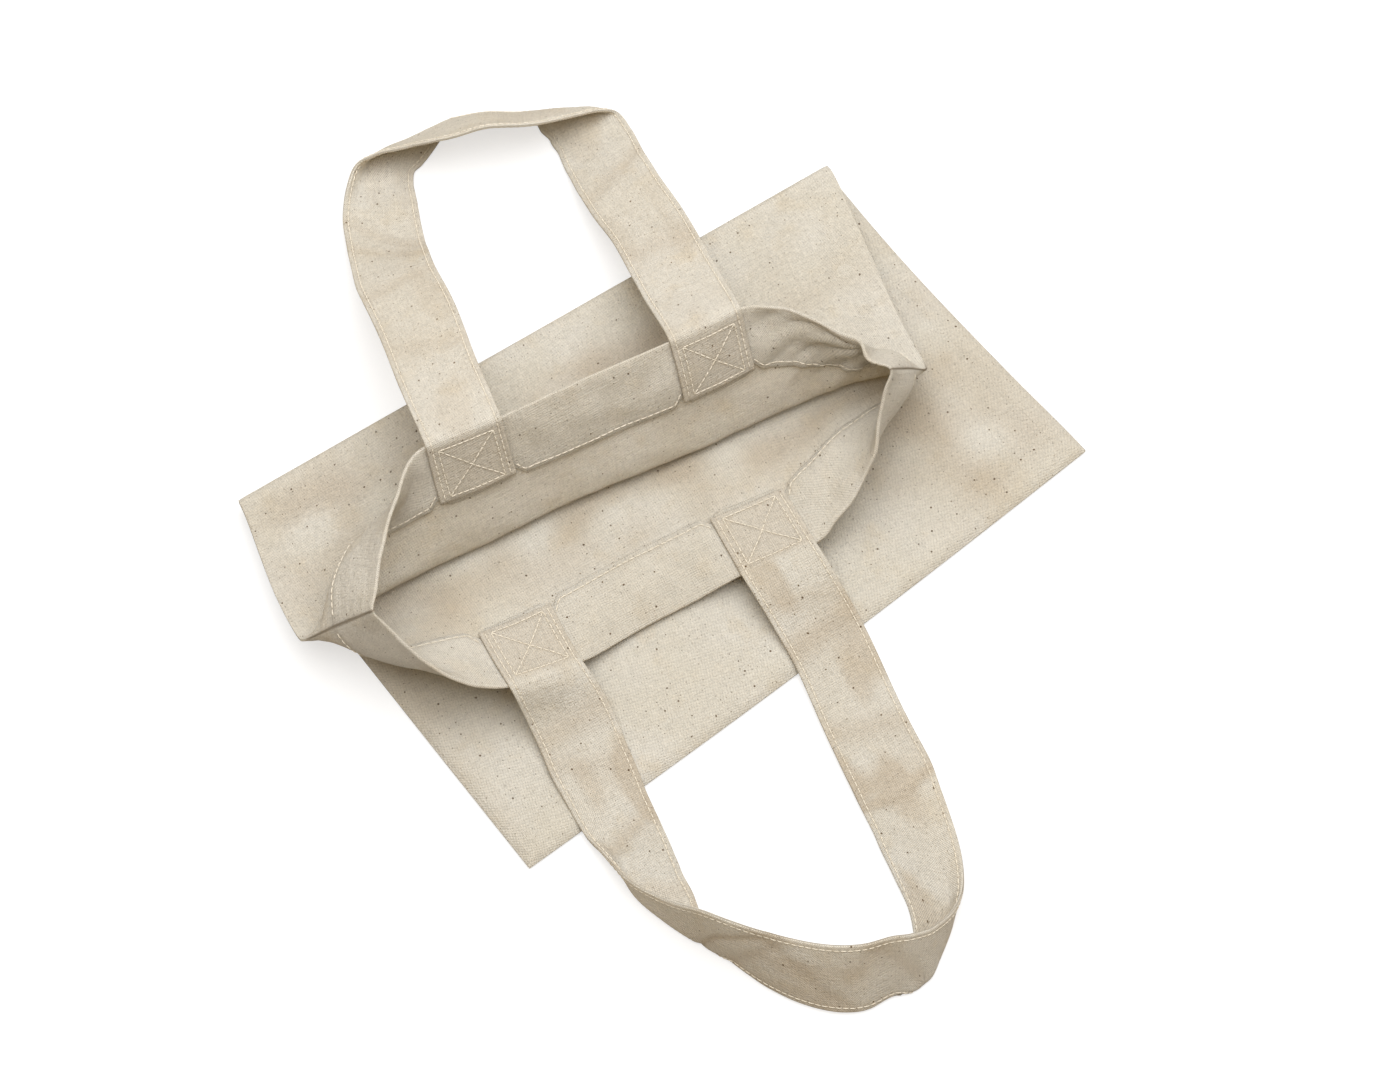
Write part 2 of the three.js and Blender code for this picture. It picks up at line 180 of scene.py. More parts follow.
def catmull(knots: np.ndarray, share: np.ndarray) -> np.ndarray:
    """Places on centripetal Catmull-Rom lines.

    Args:
        knots: The points each line passes through, as lines by knots by axes.
        share: One place per line, from 0 at its first knot to 1 at its last.

    Returns:
        One place per line.
    """
    count = knots.shape[1]
    scaled = np.clip(share, 0.0, 1.0) * (count - 1)
    first = np.minimum(scaled.astype(int), count - 2)
    within = (scaled - first)[:, None]
    before = 2 * knots[:, :1] - knots[:, 1:2]
    after = 2 * knots[:, -1:] - knots[:, -2:-1]
    padded = np.concatenate([before, knots, after], axis=1)
    lines = np.arange(len(knots))
    a, b, c, d = (padded[lines, first + step] for step in range(4))
    gaps = [np.sqrt(np.linalg.norm(q - p, axis=1, keepdims=True)) for p, q in ((a, b), (b, c), (c, d))]
    start, middle, end = (np.maximum(gap, 1e-4) for gap in gaps)
    leave = ((b - a) / start - (c - a) / (start + middle) + (c - b) / middle) * middle
    arrive = ((c - b) / middle - (d - b) / (middle + end) + (d - c) / end) * middle
    square = 3 * (c - b) - 2 * leave - arrive
    cube = 2 * (b - c) + leave + arrive
    return b + within * (leave + within * (square + within * cube))


class Line:
    """A smooth line through points, which can be read by share of its length."""

    STEPS = 600

    def __init__(self, knots: Any) -> None:
        """Measures the line through these knots.

        Args:
            knots: The points it passes through.
        """
        self.knots = np.asarray(knots, dtype=float)[None]
        self.shares = np.linspace(0.0, 1.0, self.STEPS + 1)
        self.lengths = travelled_along(self.at(self.shares))

    @property
    def length(self) -> float:
        """Length of the line."""
        return float(self.lengths[-1])

    def at(self, shares: np.ndarray) -> np.ndarray:
        """Places by share of the knots passed."""
        return catmull(np.repeat(self.knots, len(shares), axis=0), shares)

    def share_at(self, length: np.ndarray) -> np.ndarray:
        """The share of the knots passed at each length from the start."""
        return np.interp(length, self.lengths, self.shares)

    def by_length(self, shares: np.ndarray) -> np.ndarray:
        """Places by share of the whole length."""
        return self.at(self.share_at(np.asarray(shares) * self.length))


@dataclass(frozen=True)
class Ripple:
    """A smooth uneven surface: a sum of waves in several directions.

    Attributes:
        seed: Start of the random draws.
        shortest: Shortest wave, in millimetres.
        longest: Longest wave, in millimetres.
        waves: How many waves are added.
    """

    seed: int
    shortest: float
    longest: float
    waves: int = 14

    def at(self, across: np.ndarray, along: np.ndarray) -> np.ndarray:
        """Height of the ripple at places on the flat cloth.

        Args:
            across: Distances from the left seam.
            along: Distances from the bottom seam.

        Returns:
            Heights of about -1 to 1.
        """
        draw = np.random.default_rng(self.seed)
        total = np.zeros(np.broadcast(across, along).shape)
        for _ in range(self.waves):
            way = draw.uniform(0.0, math.tau)
            wave = draw.uniform(self.shortest, self.longest)
            phase = draw.uniform(0.0, math.tau)
            total = total + np.cos((across * math.cos(way) + along * math.sin(way)) * math.tau / wave + phase)
        return total / math.sqrt(self.waves)


class Side(Enum):
    """Which of the two panels a piece belongs to."""

    BACK = "back"
    FRONT = "front"


@dataclass(frozen=True)
class Drape:
    """How one panel lies: flat below the fold, round the fold, and up to the opened mouth.

    Attributes:
        side: Which panel it is.
        mouth: The mouth's edge, as share of the width, share of the height, and height over the table.
        bend: The line where the opened part starts to rise, in the same way.
        flat: The line where the folded-back part ends, in the same way.
        swell: Shares of the width, each with how far the cloth between bend and mouth stands out of the
            straight way there, in millimetres.
    """

    side: Side
    mouth: tuple[Drop, ...]
    bend: tuple[Drop, ...]
    flat: tuple[Drop, ...]
    swell: tuple[tuple[float, Drop], ...]

    COLUMN_STEPS = 150
    CREASE = 0.13  # share of the way from the bend to the next line at which the bend is done
    SEAM_CREASE = 0.03  # the same at the side seams
    SEAM_SHARE = 0.08  # share of the width in which the one goes over into the other
    SWELL_SPREAD = 0.012  # share of the width over which the swell is evened out
    SWELL_READINGS = 9
    BOTTOM_OUT = 2.6  # how far the bottom edge bows out
    RIGHT_IN = 2.4  # how far the right edge is drawn in
    CORNER_OUT = 1.0  # how far the lower right corner stands out
    CORNER_SHARE = 0.3  # share of the lower half that this reaches up
    PARTING = 2.4  # distance from a seam in which the two panels part
    RIDGE_START = (0.5, 6.0)  # where the cloth climbs onto a seam allowance, from the seam
    RIDGE_END = (-1.6, 2.6)  # where it comes down, from the edge of the allowance

    def fold_height(self, across: np.ndarray) -> np.ndarray:
        """Height of cloth at which the fold starts."""
        return CUT.fold_left + across * math.tan(CUT.fold_tilt)

    def layer(self, across: np.ndarray, along: np.ndarray) -> np.ndarray:
        """How far this panel lies inside the other one where the two lie on each other.

        Args:
            across: Distances from the left seam.
            along: Distances from the bottom seam.

        Returns:
            Distances in millimetres.
        """
        if self.side is Side.BACK:
            return np.zeros(np.broadcast(across, along).shape)
        to_seam = np.minimum(to_seam_side(across), along)
        space = CUT.inside * (1.0 - np.exp(-np.maximum(0.0, to_seam) / self.PARTING))
        edge = CUT.allowance_inset + CUT.allowance_width
        past = smooth(edge + self.RIDGE_END[0], edge + self.RIDGE_END[1], to_seam)
        return space + CUT.ridge * smooth(*self.RIDGE_START, to_seam) * (1.0 - past)

    def fold_place(self, across: np.ndarray, along: np.ndarray) -> np.ndarray:
        """Places round the fold.

        Args:
            across: Distances from the left seam.
            along: Distances from the bottom seam.

        Returns:
            Points of the bag's plan.
        """
        past = along - self.fold_height(across)
        turn = past / CUT.fold_run * math.pi
        radius = CUT.fold_radius - self.layer(across, along)
        axis_height = np.full_like(across, CUT.table_clear + CUT.fold_radius)
        base = np.stack([across, self.fold_height(across), axis_height], axis=-1)
        shift = (past * math.sin(CUT.fold_tilt))[:, None] * ALONG_FOLD
        out = (radius * np.sin(turn))[:, None] * ACROSS_FOLD
        return base + shift + out - (radius * np.cos(turn))[:, None] * UP

    def _drawn_in(self, across: np.ndarray, along: np.ndarray) -> tuple[np.ndarray, np.ndarray]:
        """How the flat lower half differs from its cut shape.

        Args:
            across: Distances from the left seam.
            along: Distances from the bottom seam.

        Returns:
            How far it lies sideways, and how far lengthways.
        """
        up = np.clip(along / self.fold_height(across), 0.0, 1.0)
        right = (across / CUT.width) ** 3
        corner = self.CORNER_OUT * (1.0 - smooth(0.0, self.CORNER_SHARE, up))
        sideways = right * (corner - self.RIGHT_IN * np.sin(math.pi * up**1.5))
        bow = np.sin(math.pi * np.clip(across / CUT.width, 0.0, 1.0))
        return sideways, -self.BOTTOM_OUT * bow * (1.0 - up) ** 2

    def upper_knots(self, across: np.ndarray) -> np.ndarray:
        """The points that each column of the upper half passes through.

        Args:
            across: Distances from the left seam.

        Returns:
            Columns by knots by axes.
        """
        start = self.fold_place(across, self.fold_height(across) + CUT.fold_run)
        lead = start + CUT.fold_radius * ACROSS_FOLD
        share = np.clip(across / CUT.width, 0.0, 1.0)
        size = np.array([CUT.width, CUT.height, 1.0])
        lines = [Line(np.array(row) * size) for row in (self.flat, self.bend, self.mouth)]
        flat, bend, mouth = (line.by_length(share) for line in lines)
        to_side = np.minimum(share, 1.0 - share)[:, None]
        eased = smooth(0.0, self.SEAM_SHARE, to_side)
        crease = self.SEAM_CREASE + (self.CREASE - self.SEAM_CREASE) * eased
        before = bend + crease * (flat - bend)
        after = bend + crease * (mouth - bend)
        middle = (bend + mouth) / 2 + self._swell_at(share)
        return np.stack([lead, start, flat, before, after, middle, mouth], axis=1)

    def _swell_at(self, share: np.ndarray) -> np.ndarray:
        """How far the cloth between bend and mouth stands out of the straight way.

        Args:
            share: Shares of the width.

        Returns:
            One offset per share.
        """
        shares = [place for place, _ in self.swell]
        offsets = np.array([offset for _, offset in self.swell])
        spread = np.linspace(-self.SWELL_SPREAD, self.SWELL_SPREAD, self.SWELL_READINGS)
        near = share[:, None] + spread[None, :]
        return np.stack([np.interp(near, shares, line).mean(axis=1) for line in offsets.T], axis=1)

    def upper_places(self, across: np.ndarray, share: np.ndarray) -> np.ndarray:
        """Places on the upper half.

        Args:
            across: Distances from the left seam.
            share: Shares of its length from the fold to the mouth.

        Returns:
            Points of the bag's plan.
        """
        columns, which = np.unique(np.round(across, 6), return_inverse=True)
        knots = self.upper_knots(columns)
        skip = 1.0 / (knots.shape[1] - 1)
        steps = skip + (1.0 - skip) * np.linspace(0.0, 1.0, self.COLUMN_STEPS + 1)
        traced = np.stack([catmull(knots, np.full(len(columns), step)) for step in steps], axis=1)
        gaps = np.linalg.norm(np.diff(traced, axis=1), axis=2)
        lengths = np.concatenate([np.zeros((len(columns), 1)), np.cumsum(gaps, axis=1)], axis=1)
        reached = np.empty(len(across))
        for column in range(len(columns)):
            mine = which == column
            reached[mine] = np.interp(share[mine] * lengths[column, -1], lengths[column], steps)
        return catmull(knots[which], reached)

    def places(self, across: np.ndarray, along: np.ndarray) -> np.ndarray:
        """Places of the panel's seam line surface.

        Args:
            across: Distances from the left seam.
            along: Distances from the bottom seam.

        Returns:
            Points of the bag's plan, one per pair.
        """
        fold = self.fold_height(across)
        end = fold + CUT.fold_run
        sideways, lengthways = self._drawn_in(across, along)
        height = CUT.table_clear + self.layer(across, along)
        found = np.stack([across + sideways, along + lengthways, height], axis=-1)
        turning = (along > fold) & (along <= end)
        found[turning] = self.fold_place(across[turning], along[turning])
        above = along > end
        share = (along[above] - end[above]) / (CUT.height - end[above])
        found[above] = self.upper_places(across[above], share)
        return found


BACK_DRAPE = Drape(
    side=Side.BACK,
    mouth=(
        (0.022, 0.318, 69), (0.07, 0.36, 69), (0.14, 0.412, 70), (0.2, 0.4455, 71), (0.28, 0.431, 71),
        (0.455, 0.3995, 70), (0.63, 0.368, 69), (0.7, 0.3555, 69), (0.755, 0.316, 67), (0.789, 0.254, 67),
        (0.797, 0.233, 66), (0.787, 0.214, 66), (0.8, 0.182, 69),
    ),
    bend=(
        (-0.0595, 0.385, 21), (0.0586, 0.372, 18), (0.1394, 0.3587, 17), (0.2367, 0.3427, 17),
        (0.3348, 0.3257, 17), (0.4827, 0.2967, 17), (0.5983, 0.2707, 17), (0.758, 0.2407, 18),
        (0.832, 0.215, 20), (0.886, 0.193, 23),
    ),
    flat=(
        (-0.048, 0.452, 17.5), (0.07, 0.437, 16.5), (0.27, 0.407, 15.5),
        (0.45, 0.372, 15), (0.62, 0.337, 15), (0.78, 0.307, 16), (0.91, 0.27, 19),
    ),
    swell=(
        (-0.025, (1, -11, 0)), (0.0, (0, 0, 0)), (0.025, (-1, 11, 0)), (0.05, (-1, 15.5, 0)),
        (0.1, (0, 19, -1)), (0.15, (0, 16, 0)), (0.2, (0, 10, 0)), (0.245, (0, 3, 0)), (0.28, (0, 0, 0)),
        (0.9, (0, 0, 0)), (0.94, (5, 5, 1)), (0.965, (7, 7, 2)), (0.985, (5, 4, 1)), (1.0, (0, 0, 0)),
        (1.015, (-5, -4, -1)),
    ),
)
FRONT_DRAPE = Drape(
    side=Side.FRONT,
    mouth=(
        (0.022, 0.318, 69), (0.029, 0.291, 60), (0.0496, 0.2434, 45), (0.0637, 0.2188, 37), (0.085, 0.2, 31),
        (0.119, 0.1815, 26), (0.1752, 0.1685, 20), (0.239, 0.161, 11), (0.3295, 0.1557, 6),
        (0.4077, 0.1438, 7), (0.493, 0.128, 13), (0.5525, 0.1121, 15.5), (0.609, 0.1019, 17.5),
        (0.6305, 0.1066, 20), (0.6647, 0.1127, 25), (0.7019, 0.1259, 32), (0.7292, 0.1344, 40),
        (0.7524, 0.1521, 49), (0.7779, 0.1692, 60), (0.8, 0.182, 69),
    ),
    bend=(
        (-0.0595, 0.385, 21), (0.023, 0.352, 16), (0.114, 0.328, 13.5), (0.21, 0.31, 13),
        (0.394, 0.285, 13), (0.583, 0.252, 13), (0.714, 0.23, 14), (0.815, 0.21, 18), (0.886, 0.193, 23),
    ),
    flat=(
        (-0.048, 0.452, 17.5), (0.05, 0.44, 14), (0.15, 0.42, 12.5), (0.27, 0.397, 12),
        (0.45, 0.362, 12), (0.62, 0.327, 12), (0.78, 0.297, 14), (0.91, 0.27, 19),
    ),
    swell=(
        (-0.02, (3, 3, 0)), (0.0, (0, 0, 0)), (0.02, (-3, -3, 0)), (0.05, (-6, -5, -1)), (0.08, (-6, -8, -2)),
        (0.12, (-5, -9, -1)), (0.16, (-3, -5, -1)), (0.2, (-1, -1, 0)), (0.24, (0, 0, 0)), (0.78, (0, 0, 0)),
        (0.85, (1, -3, 0)), (0.9, (1.5, -6.5, 0)), (0.93, (3.5, -7, 0)), (0.96, (3.5, -6, 0)),
        (0.98, (2.5, -3, 0)), (1.0, (0, 0, 0)), (1.02, (-3, 4, 0)),
    ),
)


class Shade:
    """A value in a material, with arithmetic."""

    def __init__(self, graph: "Graph", socket: Any) -> None:
        """Wraps an output socket of a graph."""
        self.graph = graph
        self.socket = socket

    def _join(self, kind: str, left: "Term", right: "Term") -> "Shade":
        """One Math node of two terms."""
        return self.graph.node("ShaderNodeMath", {0: left, 1: right}, operation=kind)

    def __add__(self, other: "Term") -> "Shade":
        """Sum."""
        return self._join("ADD", self, other)

    __radd__ = __add__

    def __sub__(self, other: "Term") -> "Shade":
        """Difference."""
        return self._join("SUBTRACT", self, other)

    def __rsub__(self, other: "Term") -> "Shade":
        """Difference from a number."""
        return self._join("SUBTRACT", other, self)

    def __mul__(self, other: "Term") -> "Shade":
        """Product."""
        return self._join("MULTIPLY", self, other)

    __rmul__ = __mul__

    def __truediv__(self, other: "Term") -> "Shade":
        """Quotient."""
        return self._join("DIVIDE", self, other)

    def __rtruediv__(self, other: "Term") -> "Shade":
        """Quotient of a number."""
        return self._join("DIVIDE", other, self)

    def wave(self) -> "Shade":
        """Sine of an angle in radians."""
        return self._join("SINE", self, 0.0)

    def step(self, low: float, high: float) -> "Shade":
        """An easy step from 0 at low to 1 at high; low may be above high."""
        inputs = {"Value": self, "From Min": low, "From Max": high}
        return self.graph.node("ShaderNodeMapRange", inputs, interpolation_type="SMOOTHSTEP")


Term = Union[Shade, float]


class Graph:
    """A material's node tree."""

    def __init__(self, name: str) -> None:
        """Starts an empty material.

        Args:
            name: The material's name.
        """
        self.material = bpy.data.materials.new(name)
        self.material.use_nodes = True
        self.tree = self.material.node_tree
        self.tree.nodes.clear()

    def node(self, kind: str, inputs: dict[Any, Any], output: Any = 0, **settings: Any) -> Shade:
        """Adds one node.

        Args:
            kind: The node's type.
            inputs: Values or shades, by the name or number of the socket.
            output: Name or number of the output that is wanted.
            settings: Properties of the node.

        Returns:
            The wanted output.
        """
        made = self.tree.nodes.new(kind)
        for key, value in settings.items():
            setattr(made, key, value)
        for key, value in inputs.items():
            if isinstance(value, Shade):
                self.tree.links.new(value.socket, made.inputs[key])
            else:
                made.inputs[key].default_value = value
        return Shade(self, made.outputs[output])

    def attribute(self, name: str) -> Shade:
        """A vector that the mesh keeps at each point."""
        return self.node("ShaderNodeAttribute", {}, output="Vector", attribute_name=name)

    def parts(self, vector: Shade) -> list[Shade]:
        """The three parts of a vector."""
        first = self.node("ShaderNodeSeparateXYZ", {0: vector})
        return [Shade(self, output) for output in first.socket.node.outputs]

    def mix(self, share: Term, first: Any, second: Any) -> Shade:
        """A colour between two colours, each a shade or three numbers."""
        ends = [end if isinstance(end, Shade) else (*end, 1.0) for end in (first, second)]
        return self.node("ShaderNodeMix", {0: share, 6: ends[0], 7: ends[1]}, output=2, data_type="RGBA")

    def total(self, shades: dict[str, Shade], weights: dict[str, float]) -> Shade:
        """Sum of shades, each times its weight.

        Args:
            shades: The shades, by name.
            weights: Weights of those that are wanted.

        Returns:
            The sum.
        """
        first, *others = (shades[name] * weight for name, weight in weights.items())
        for other in others:
            first = first + other
        return first

    def vector(self, x: Term, y: Term, z: Term) -> Shade:
        """A vector of three terms."""
        return self.node("ShaderNodeCombineXYZ", {0: x, 1: y, 2: z})

    def noise(self, place: Shade, scale: float, detail: float = 2.0) -> Shade:
        """Noise from 0 to 1."""
        inputs = {"Vector": place, "Scale": scale, "Detail": detail, "Roughness": 0.55}
        return self.node("ShaderNodeTexNoise", inputs, output="Fac", noise_dimensions="3D")

    def surface(self, shader: Shade) -> bpy.types.Material:
        """Joins a shader to the material's output.

        Args:
            shader: The finished shader.

        Returns:
            The material.
        """
        output = self.tree.nodes.new("ShaderNodeOutputMaterial")
        self.tree.links.new(shader.socket, output.inputs["Surface"])
        return self.material


Colour = tuple[float, float, float]


@dataclass(frozen=True)
class Calico:
    """Unbleached plain-woven cotton, with its slubs and seed flecks.

    Attributes:
        name: The material's name.
        ground: Main colour, linear.
        warm: Colour of the warmer patches.
        pale: Colour of the paler patches.
        layered: Colour where several layers lie together and no light shines through.
        painted_shade: Colour of the painted shade in the creases, the hollows, under the hems and on the sewn
            ends.
        fleck: Colour of the seed flecks.
        shadow: Colour deep in a seam.
        pitch: Millimetres between two threads that lie alike.
        coarse: Strength of the slubs.
        flecks: Share of the places that have a fleck.
        through: Colour of the light that passes through the cloth.
        glow: Share of the light that passes through the cloth.
    """

    name: str
    ground: Colour = (0.775, 0.738, 0.640)
    warm: Colour = (0.745, 0.665, 0.518)
    pale: Colour = (0.802, 0.774, 0.694)
    layered: Colour = (0.690, 0.635, 0.535)
    painted_shade: Colour = (0.600, 0.485, 0.340)
    fleck: Colour = (0.105, 0.060, 0.028)
    shadow: Colour = (0.230, 0.180, 0.120)
    pitch: float = 1.05
    coarse: float = 1.0
    flecks: float = 0.5
    through: Colour = (0.860, 0.735, 0.530)
    glow: float = 0.30

    DRIFT = 1.6  # how far the threads wander, in radians of the weave
    SLUBS_SHOW = 0.20  # how far each of these lightens and darkens the cloth
    FIBRES_SHOW = {"weave": 0.27, "grain": 0.62, "mottle": 0.24}
    FIBRES_RISE = {"weave": 0.45, "slubs": 1.6, "grain": 1.8, "mottle": 1.2, "crumple": 3.2}
    WARM_SHOWS = 0.55
    LAYERS_SHOW = 0.22
    PAINTED_SHADE_SHOWS = 0.5
    PAINTED_SHADE_DARKENS = 0.06
    SEAM_DARKENS = 0.85
    BRAN_SHOWS = 0.7
    BUMP_STRENGTH = 0.75
    BUMP_HEIGHT = 0.0004
    ROUGHNESS = 0.93

    def speckle(self, graph: Graph, place: Shade, spacing: float, size: float, share: float) -> Shade:
        """Small specks, one at most in each cell of the cloth.

        Args:
            graph: The material's tree.
            place: Place on the cloth, in millimetres.
            spacing: Millimetres between cells.
            size: Radius of the largest speck.
            share: Share of the cells that have one.

        Returns:
            1 in a speck and 0 outside it.
        """
        inputs = {"Vector": place, "Scale": 1.0 / spacing, "Randomness": 1.0}
        near = graph.node("ShaderNodeTexVoronoi", inputs, output="Distance", voronoi_dimensions="2D")
        cell = Shade(graph, near.socket.node.outputs["Color"])
        parts = graph.node("ShaderNodeSeparateColor", {"Color": cell}, output="Red")
        green = Shade(graph, parts.socket.node.outputs["Green"])
        radius = (0.35 + 0.65 * green) * (size / spacing)
        here = parts.step(share + 0.01, share - 0.01)
        return (near / radius).step(1.15, 0.55) * here

    def _fibres(self, graph: Graph, place: Shade) -> dict[str, Shade]:
        """What the threads do at a place.

        Args:
            graph: The material's tree.
            place: Place on the cloth, in millimetres.

        Returns:
            The weave, the slubs, the grain, the mottle and the crumple, by name.
        """
        across, along, layer = graph.parts(place)
        warp = graph.noise(graph.vector(across * 1.25, along * 0.045, layer), 1.0, 3.0)
        weft = graph.noise(graph.vector(across * 0.04, along * 1.15, layer + 40.0), 1.0, 3.0)
        grain = graph.noise(place, 1.15, 3.0) - 0.5
        mottle = graph.noise(graph.vector(across, along, layer + 20.0), 0.38, 2.0) - 0.5
        crumple = graph.noise(graph.vector(across, along, layer + 140.0), 0.11, 2.0)
        drift = grain * self.DRIFT
        turn = math.tau / self.pitch
        weave = (across * turn + drift).wave() * (along * turn + drift).wave()
        slubs = (warp - 0.5) + (weft - 0.5)
        return {"weave": weave, "slubs": slubs, "grain": grain, "mottle": mottle, "crumple": crumple}

    def _ground(self, graph: Graph, place: Shade) -> Shade:
        """The cloth's colour with its pale and warm patches.

        Args:
            graph: The material's tree.
            place: Place on the cloth, in millimetres.

        Returns:
            The colour.
        """
        across, along, layer = graph.parts(place)
        patch = graph.noise(place, 0.021, 3.0)
        cloud = graph.noise(graph.vector(across, along, layer + 90.0), 0.055, 3.0)
        colour = graph.mix(patch.step(0.36, 0.66), self.ground, self.pale)
        return graph.mix(cloud.step(0.50, 0.78) * self.WARM_SHOWS, colour, self.warm)

    def _flecked(self, graph: Graph, place: Shade, colour: Shade) -> Shade:
        """Puts the seed flecks and the smaller bran over a colour.

        Args:
            graph: The material's tree.
            place: Place on the cloth, in millimetres.
            colour: The colour of the cloth.

        Returns:
            The flecked colour.
        """
        across, along, layer = graph.parts(place)
        across = across + layer * 37.0
        seeds = graph.vector(across, along, 0.0)
        bran = graph.vector(across, along + 500.0, 0.0)
        colour = graph.mix(self.speckle(graph, seeds, 8.5, 0.62, self.flecks * 0.65), colour, self.fleck)
        small = self.speckle(graph, bran, 3.6, 0.36, self.flecks * 0.9)
        return graph.mix(small * self.BRAN_SHOWS, colour, self.fleck)

    def material(self) -> bpy.types.Material:
        """Builds the material.

        Returns:
            The material.
        """
        graph = Graph(self.name)
        # The tone's three parts are painted as shade: where layers keep light from shining through, by seams
        # and stitch lines, and in creases, hollows and patches.
        layers, seam, crease = graph.parts(graph.attribute(TONE))
        inputs = {0: graph.attribute(CLOTH), 1: (1.0 / MILLIMETRE,) * 3}
        place = graph.node("ShaderNodeVectorMath", inputs, operation="MULTIPLY")
        fibres = self._fibres(graph, place)
        # Painted shade where several layers keep the light from shining through.
        colour = graph.mix(layers * self.LAYERS_SHOW, self._ground(graph, place), self.layered)
        # Painted shade: soft patches in the hollows and by the hems, and shade in the strap's creases and on
        # its sewn ends.
        colour = graph.mix(crease * self.PAINTED_SHADE_SHOWS, colour, self.painted_shade)
        fine = graph.total(fibres, {"slubs": self.SLUBS_SHOW * self.coarse, **self.FIBRES_SHOW})
        # The painted shade also darkens the cloth a little.
        tone = 1.0 + fine - crease * self.PAINTED_SHADE_DARKENS
        inputs = {"Color": colour, "Value": tone, "Saturation": 1.0}
        colour = self._flecked(graph, place, graph.node("ShaderNodeHueSaturation", inputs))
        # Painted shadow in the gaps of the parted side seams and along the stitch lines.
        colour = graph.mix(seam * self.SEAM_DARKENS, colour, self.shadow)
        height = graph.total(fibres, self.FIBRES_RISE)
        inputs = {"Height": height, "Strength": self.BUMP_STRENGTH, "Distance": self.BUMP_HEIGHT}
        bump = graph.node("ShaderNodeBump", inputs)
        inputs = {
            "Base Color": colour, "Roughness": self.ROUGHNESS - fibres["slubs"] * 0.05, "Normal": bump,
            "Sheen Weight": 0.06, "Sheen Roughness": 0.6, "Specular IOR Level": 0.18,
        }
        face = graph.node("ShaderNodeBsdfPrincipled", inputs)
        inputs = {"Color": (*self.through, 1.0), "Normal": bump}
        through = graph.node("ShaderNodeBsdfTranslucent", inputs)
        return graph.surface(graph.node("ShaderNodeMixShader", {0: self.glow, 1: face, 2: through}))


@dataclass(frozen=True)
class Thread:
    """Sewing cotton, a little paler than the cloth."""

    name: str = "sewing_thread"
    ground: Colour = (0.860, 0.800, 0.680)
    # Darker where the plies twist down, as painted shade in the grooves between them, and at random.
    deep: Colour = (0.740, 0.665, 0.530)

    PLIES = 2.0
    TWIST = 0.55  # length of one turn of the plies, in millimetres

    def material(self) -> bpy.types.Material:
        """Builds the material: twisted plies along each stitch.

        Returns:
            The material.
        """
        graph = Graph(self.name)
        round_it, along, _ = graph.parts(graph.attribute(CLOTH))
        twist = (round_it * math.tau * self.PLIES + along * (math.tau / (self.TWIST * MILLIMETRE))).wave()
        tint = graph.noise(graph.node("ShaderNodeTexCoord", {}, output="Object"), 160.0)
        # Painted shade in the grooves between the plies, and paler or darker at random.
        colour = graph.mix((twist * 0.25 + tint).step(0.1, 0.9), self.deep, self.ground)
        bump = graph.node("ShaderNodeBump", {"Height": twist, "Strength": 0.4, "Distance": 0.00008})
        inputs = {"Base Color": colour, "Roughness": 0.8, "Normal": bump, "Specular IOR Level": 0.25}
        return graph.surface(graph.node("ShaderNodeBsdfPrincipled", inputs))


def grid_mark(vertex: bmesh.types.BMVert, rows: int, columns: int) -> tuple[int, int]:
    """Row and column of a vertex in a fresh grid of side one."""
    return round((vertex.co.y + 0.5) * (rows - 1)), round((vertex.co.x + 0.5) * (columns - 1))


def weld(shell: bmesh.types.BMesh) -> None:
    """Joins points that meet, closes open ends and turns all faces outwards.

    Args:
        shell: The bmesh, which is changed.
    """
    bmesh.ops.remove_doubles(shell, verts=shell.verts[:], dist=WELD)
    open_edges = [edge for edge in shell.edges if edge.is_boundary]
    if open_edges:
        bmesh.ops.holes_fill(shell, edges=open_edges, sides=0)
    bmesh.ops.recalc_face_normals(shell, faces=shell.faces[:])


def link_mesh(name: str, shell: bmesh.types.BMesh) -> bpy.types.Object:
    """Turns a finished bmesh into a smooth-shaded object of the scene.

    Args:
        name: The object's name.
        shell: The bmesh, which is used up.

    Returns:
        The object.
    """
    mesh = bpy.data.meshes.new(name)
    shell.to_mesh(mesh)
    shell.free()
    mesh.polygons.foreach_set("use_smooth", [True] * len(mesh.polygons))
    made = bpy.data.objects.new(name, mesh)
    bpy.context.scene.collection.objects.link(made)
    return made


def grid_object(
    name: str, places: np.ndarray, cloth: np.ndarray, tones: np.ndarray, closed: bool = False
) -> bpy.types.Object:
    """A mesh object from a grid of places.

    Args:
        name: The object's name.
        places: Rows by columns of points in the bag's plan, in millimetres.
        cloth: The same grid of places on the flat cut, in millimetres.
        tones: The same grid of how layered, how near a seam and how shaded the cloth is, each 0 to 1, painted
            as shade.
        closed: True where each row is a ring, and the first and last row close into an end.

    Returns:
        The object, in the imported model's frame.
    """
    rows, columns = places.shape[:2]
    shell = bmesh.new()
    bmesh.ops.create_grid(shell, x_segments=columns - 1, y_segments=rows - 1, size=0.5)
    keep = shell.verts.layers.float_vector.new(CLOTH)
    shaded = shell.verts.layers.float_vector.new(TONE)
    row_places = to_row(places)
    for vertex in shell.verts:
        mark = grid_mark(vertex, rows, columns)
        vertex[keep] = cloth[mark] * MILLIMETRE
        vertex[shaded] = tones[mark]
        vertex.co = row_places[mark]
    if closed:
        weld(shell)
    return link_mesh(name, shell)


def dress(piece: bpy.types.Object, material: bpy.types.Material) -> None:
    """Gives a piece its material."""
    piece.data.materials.append(material)


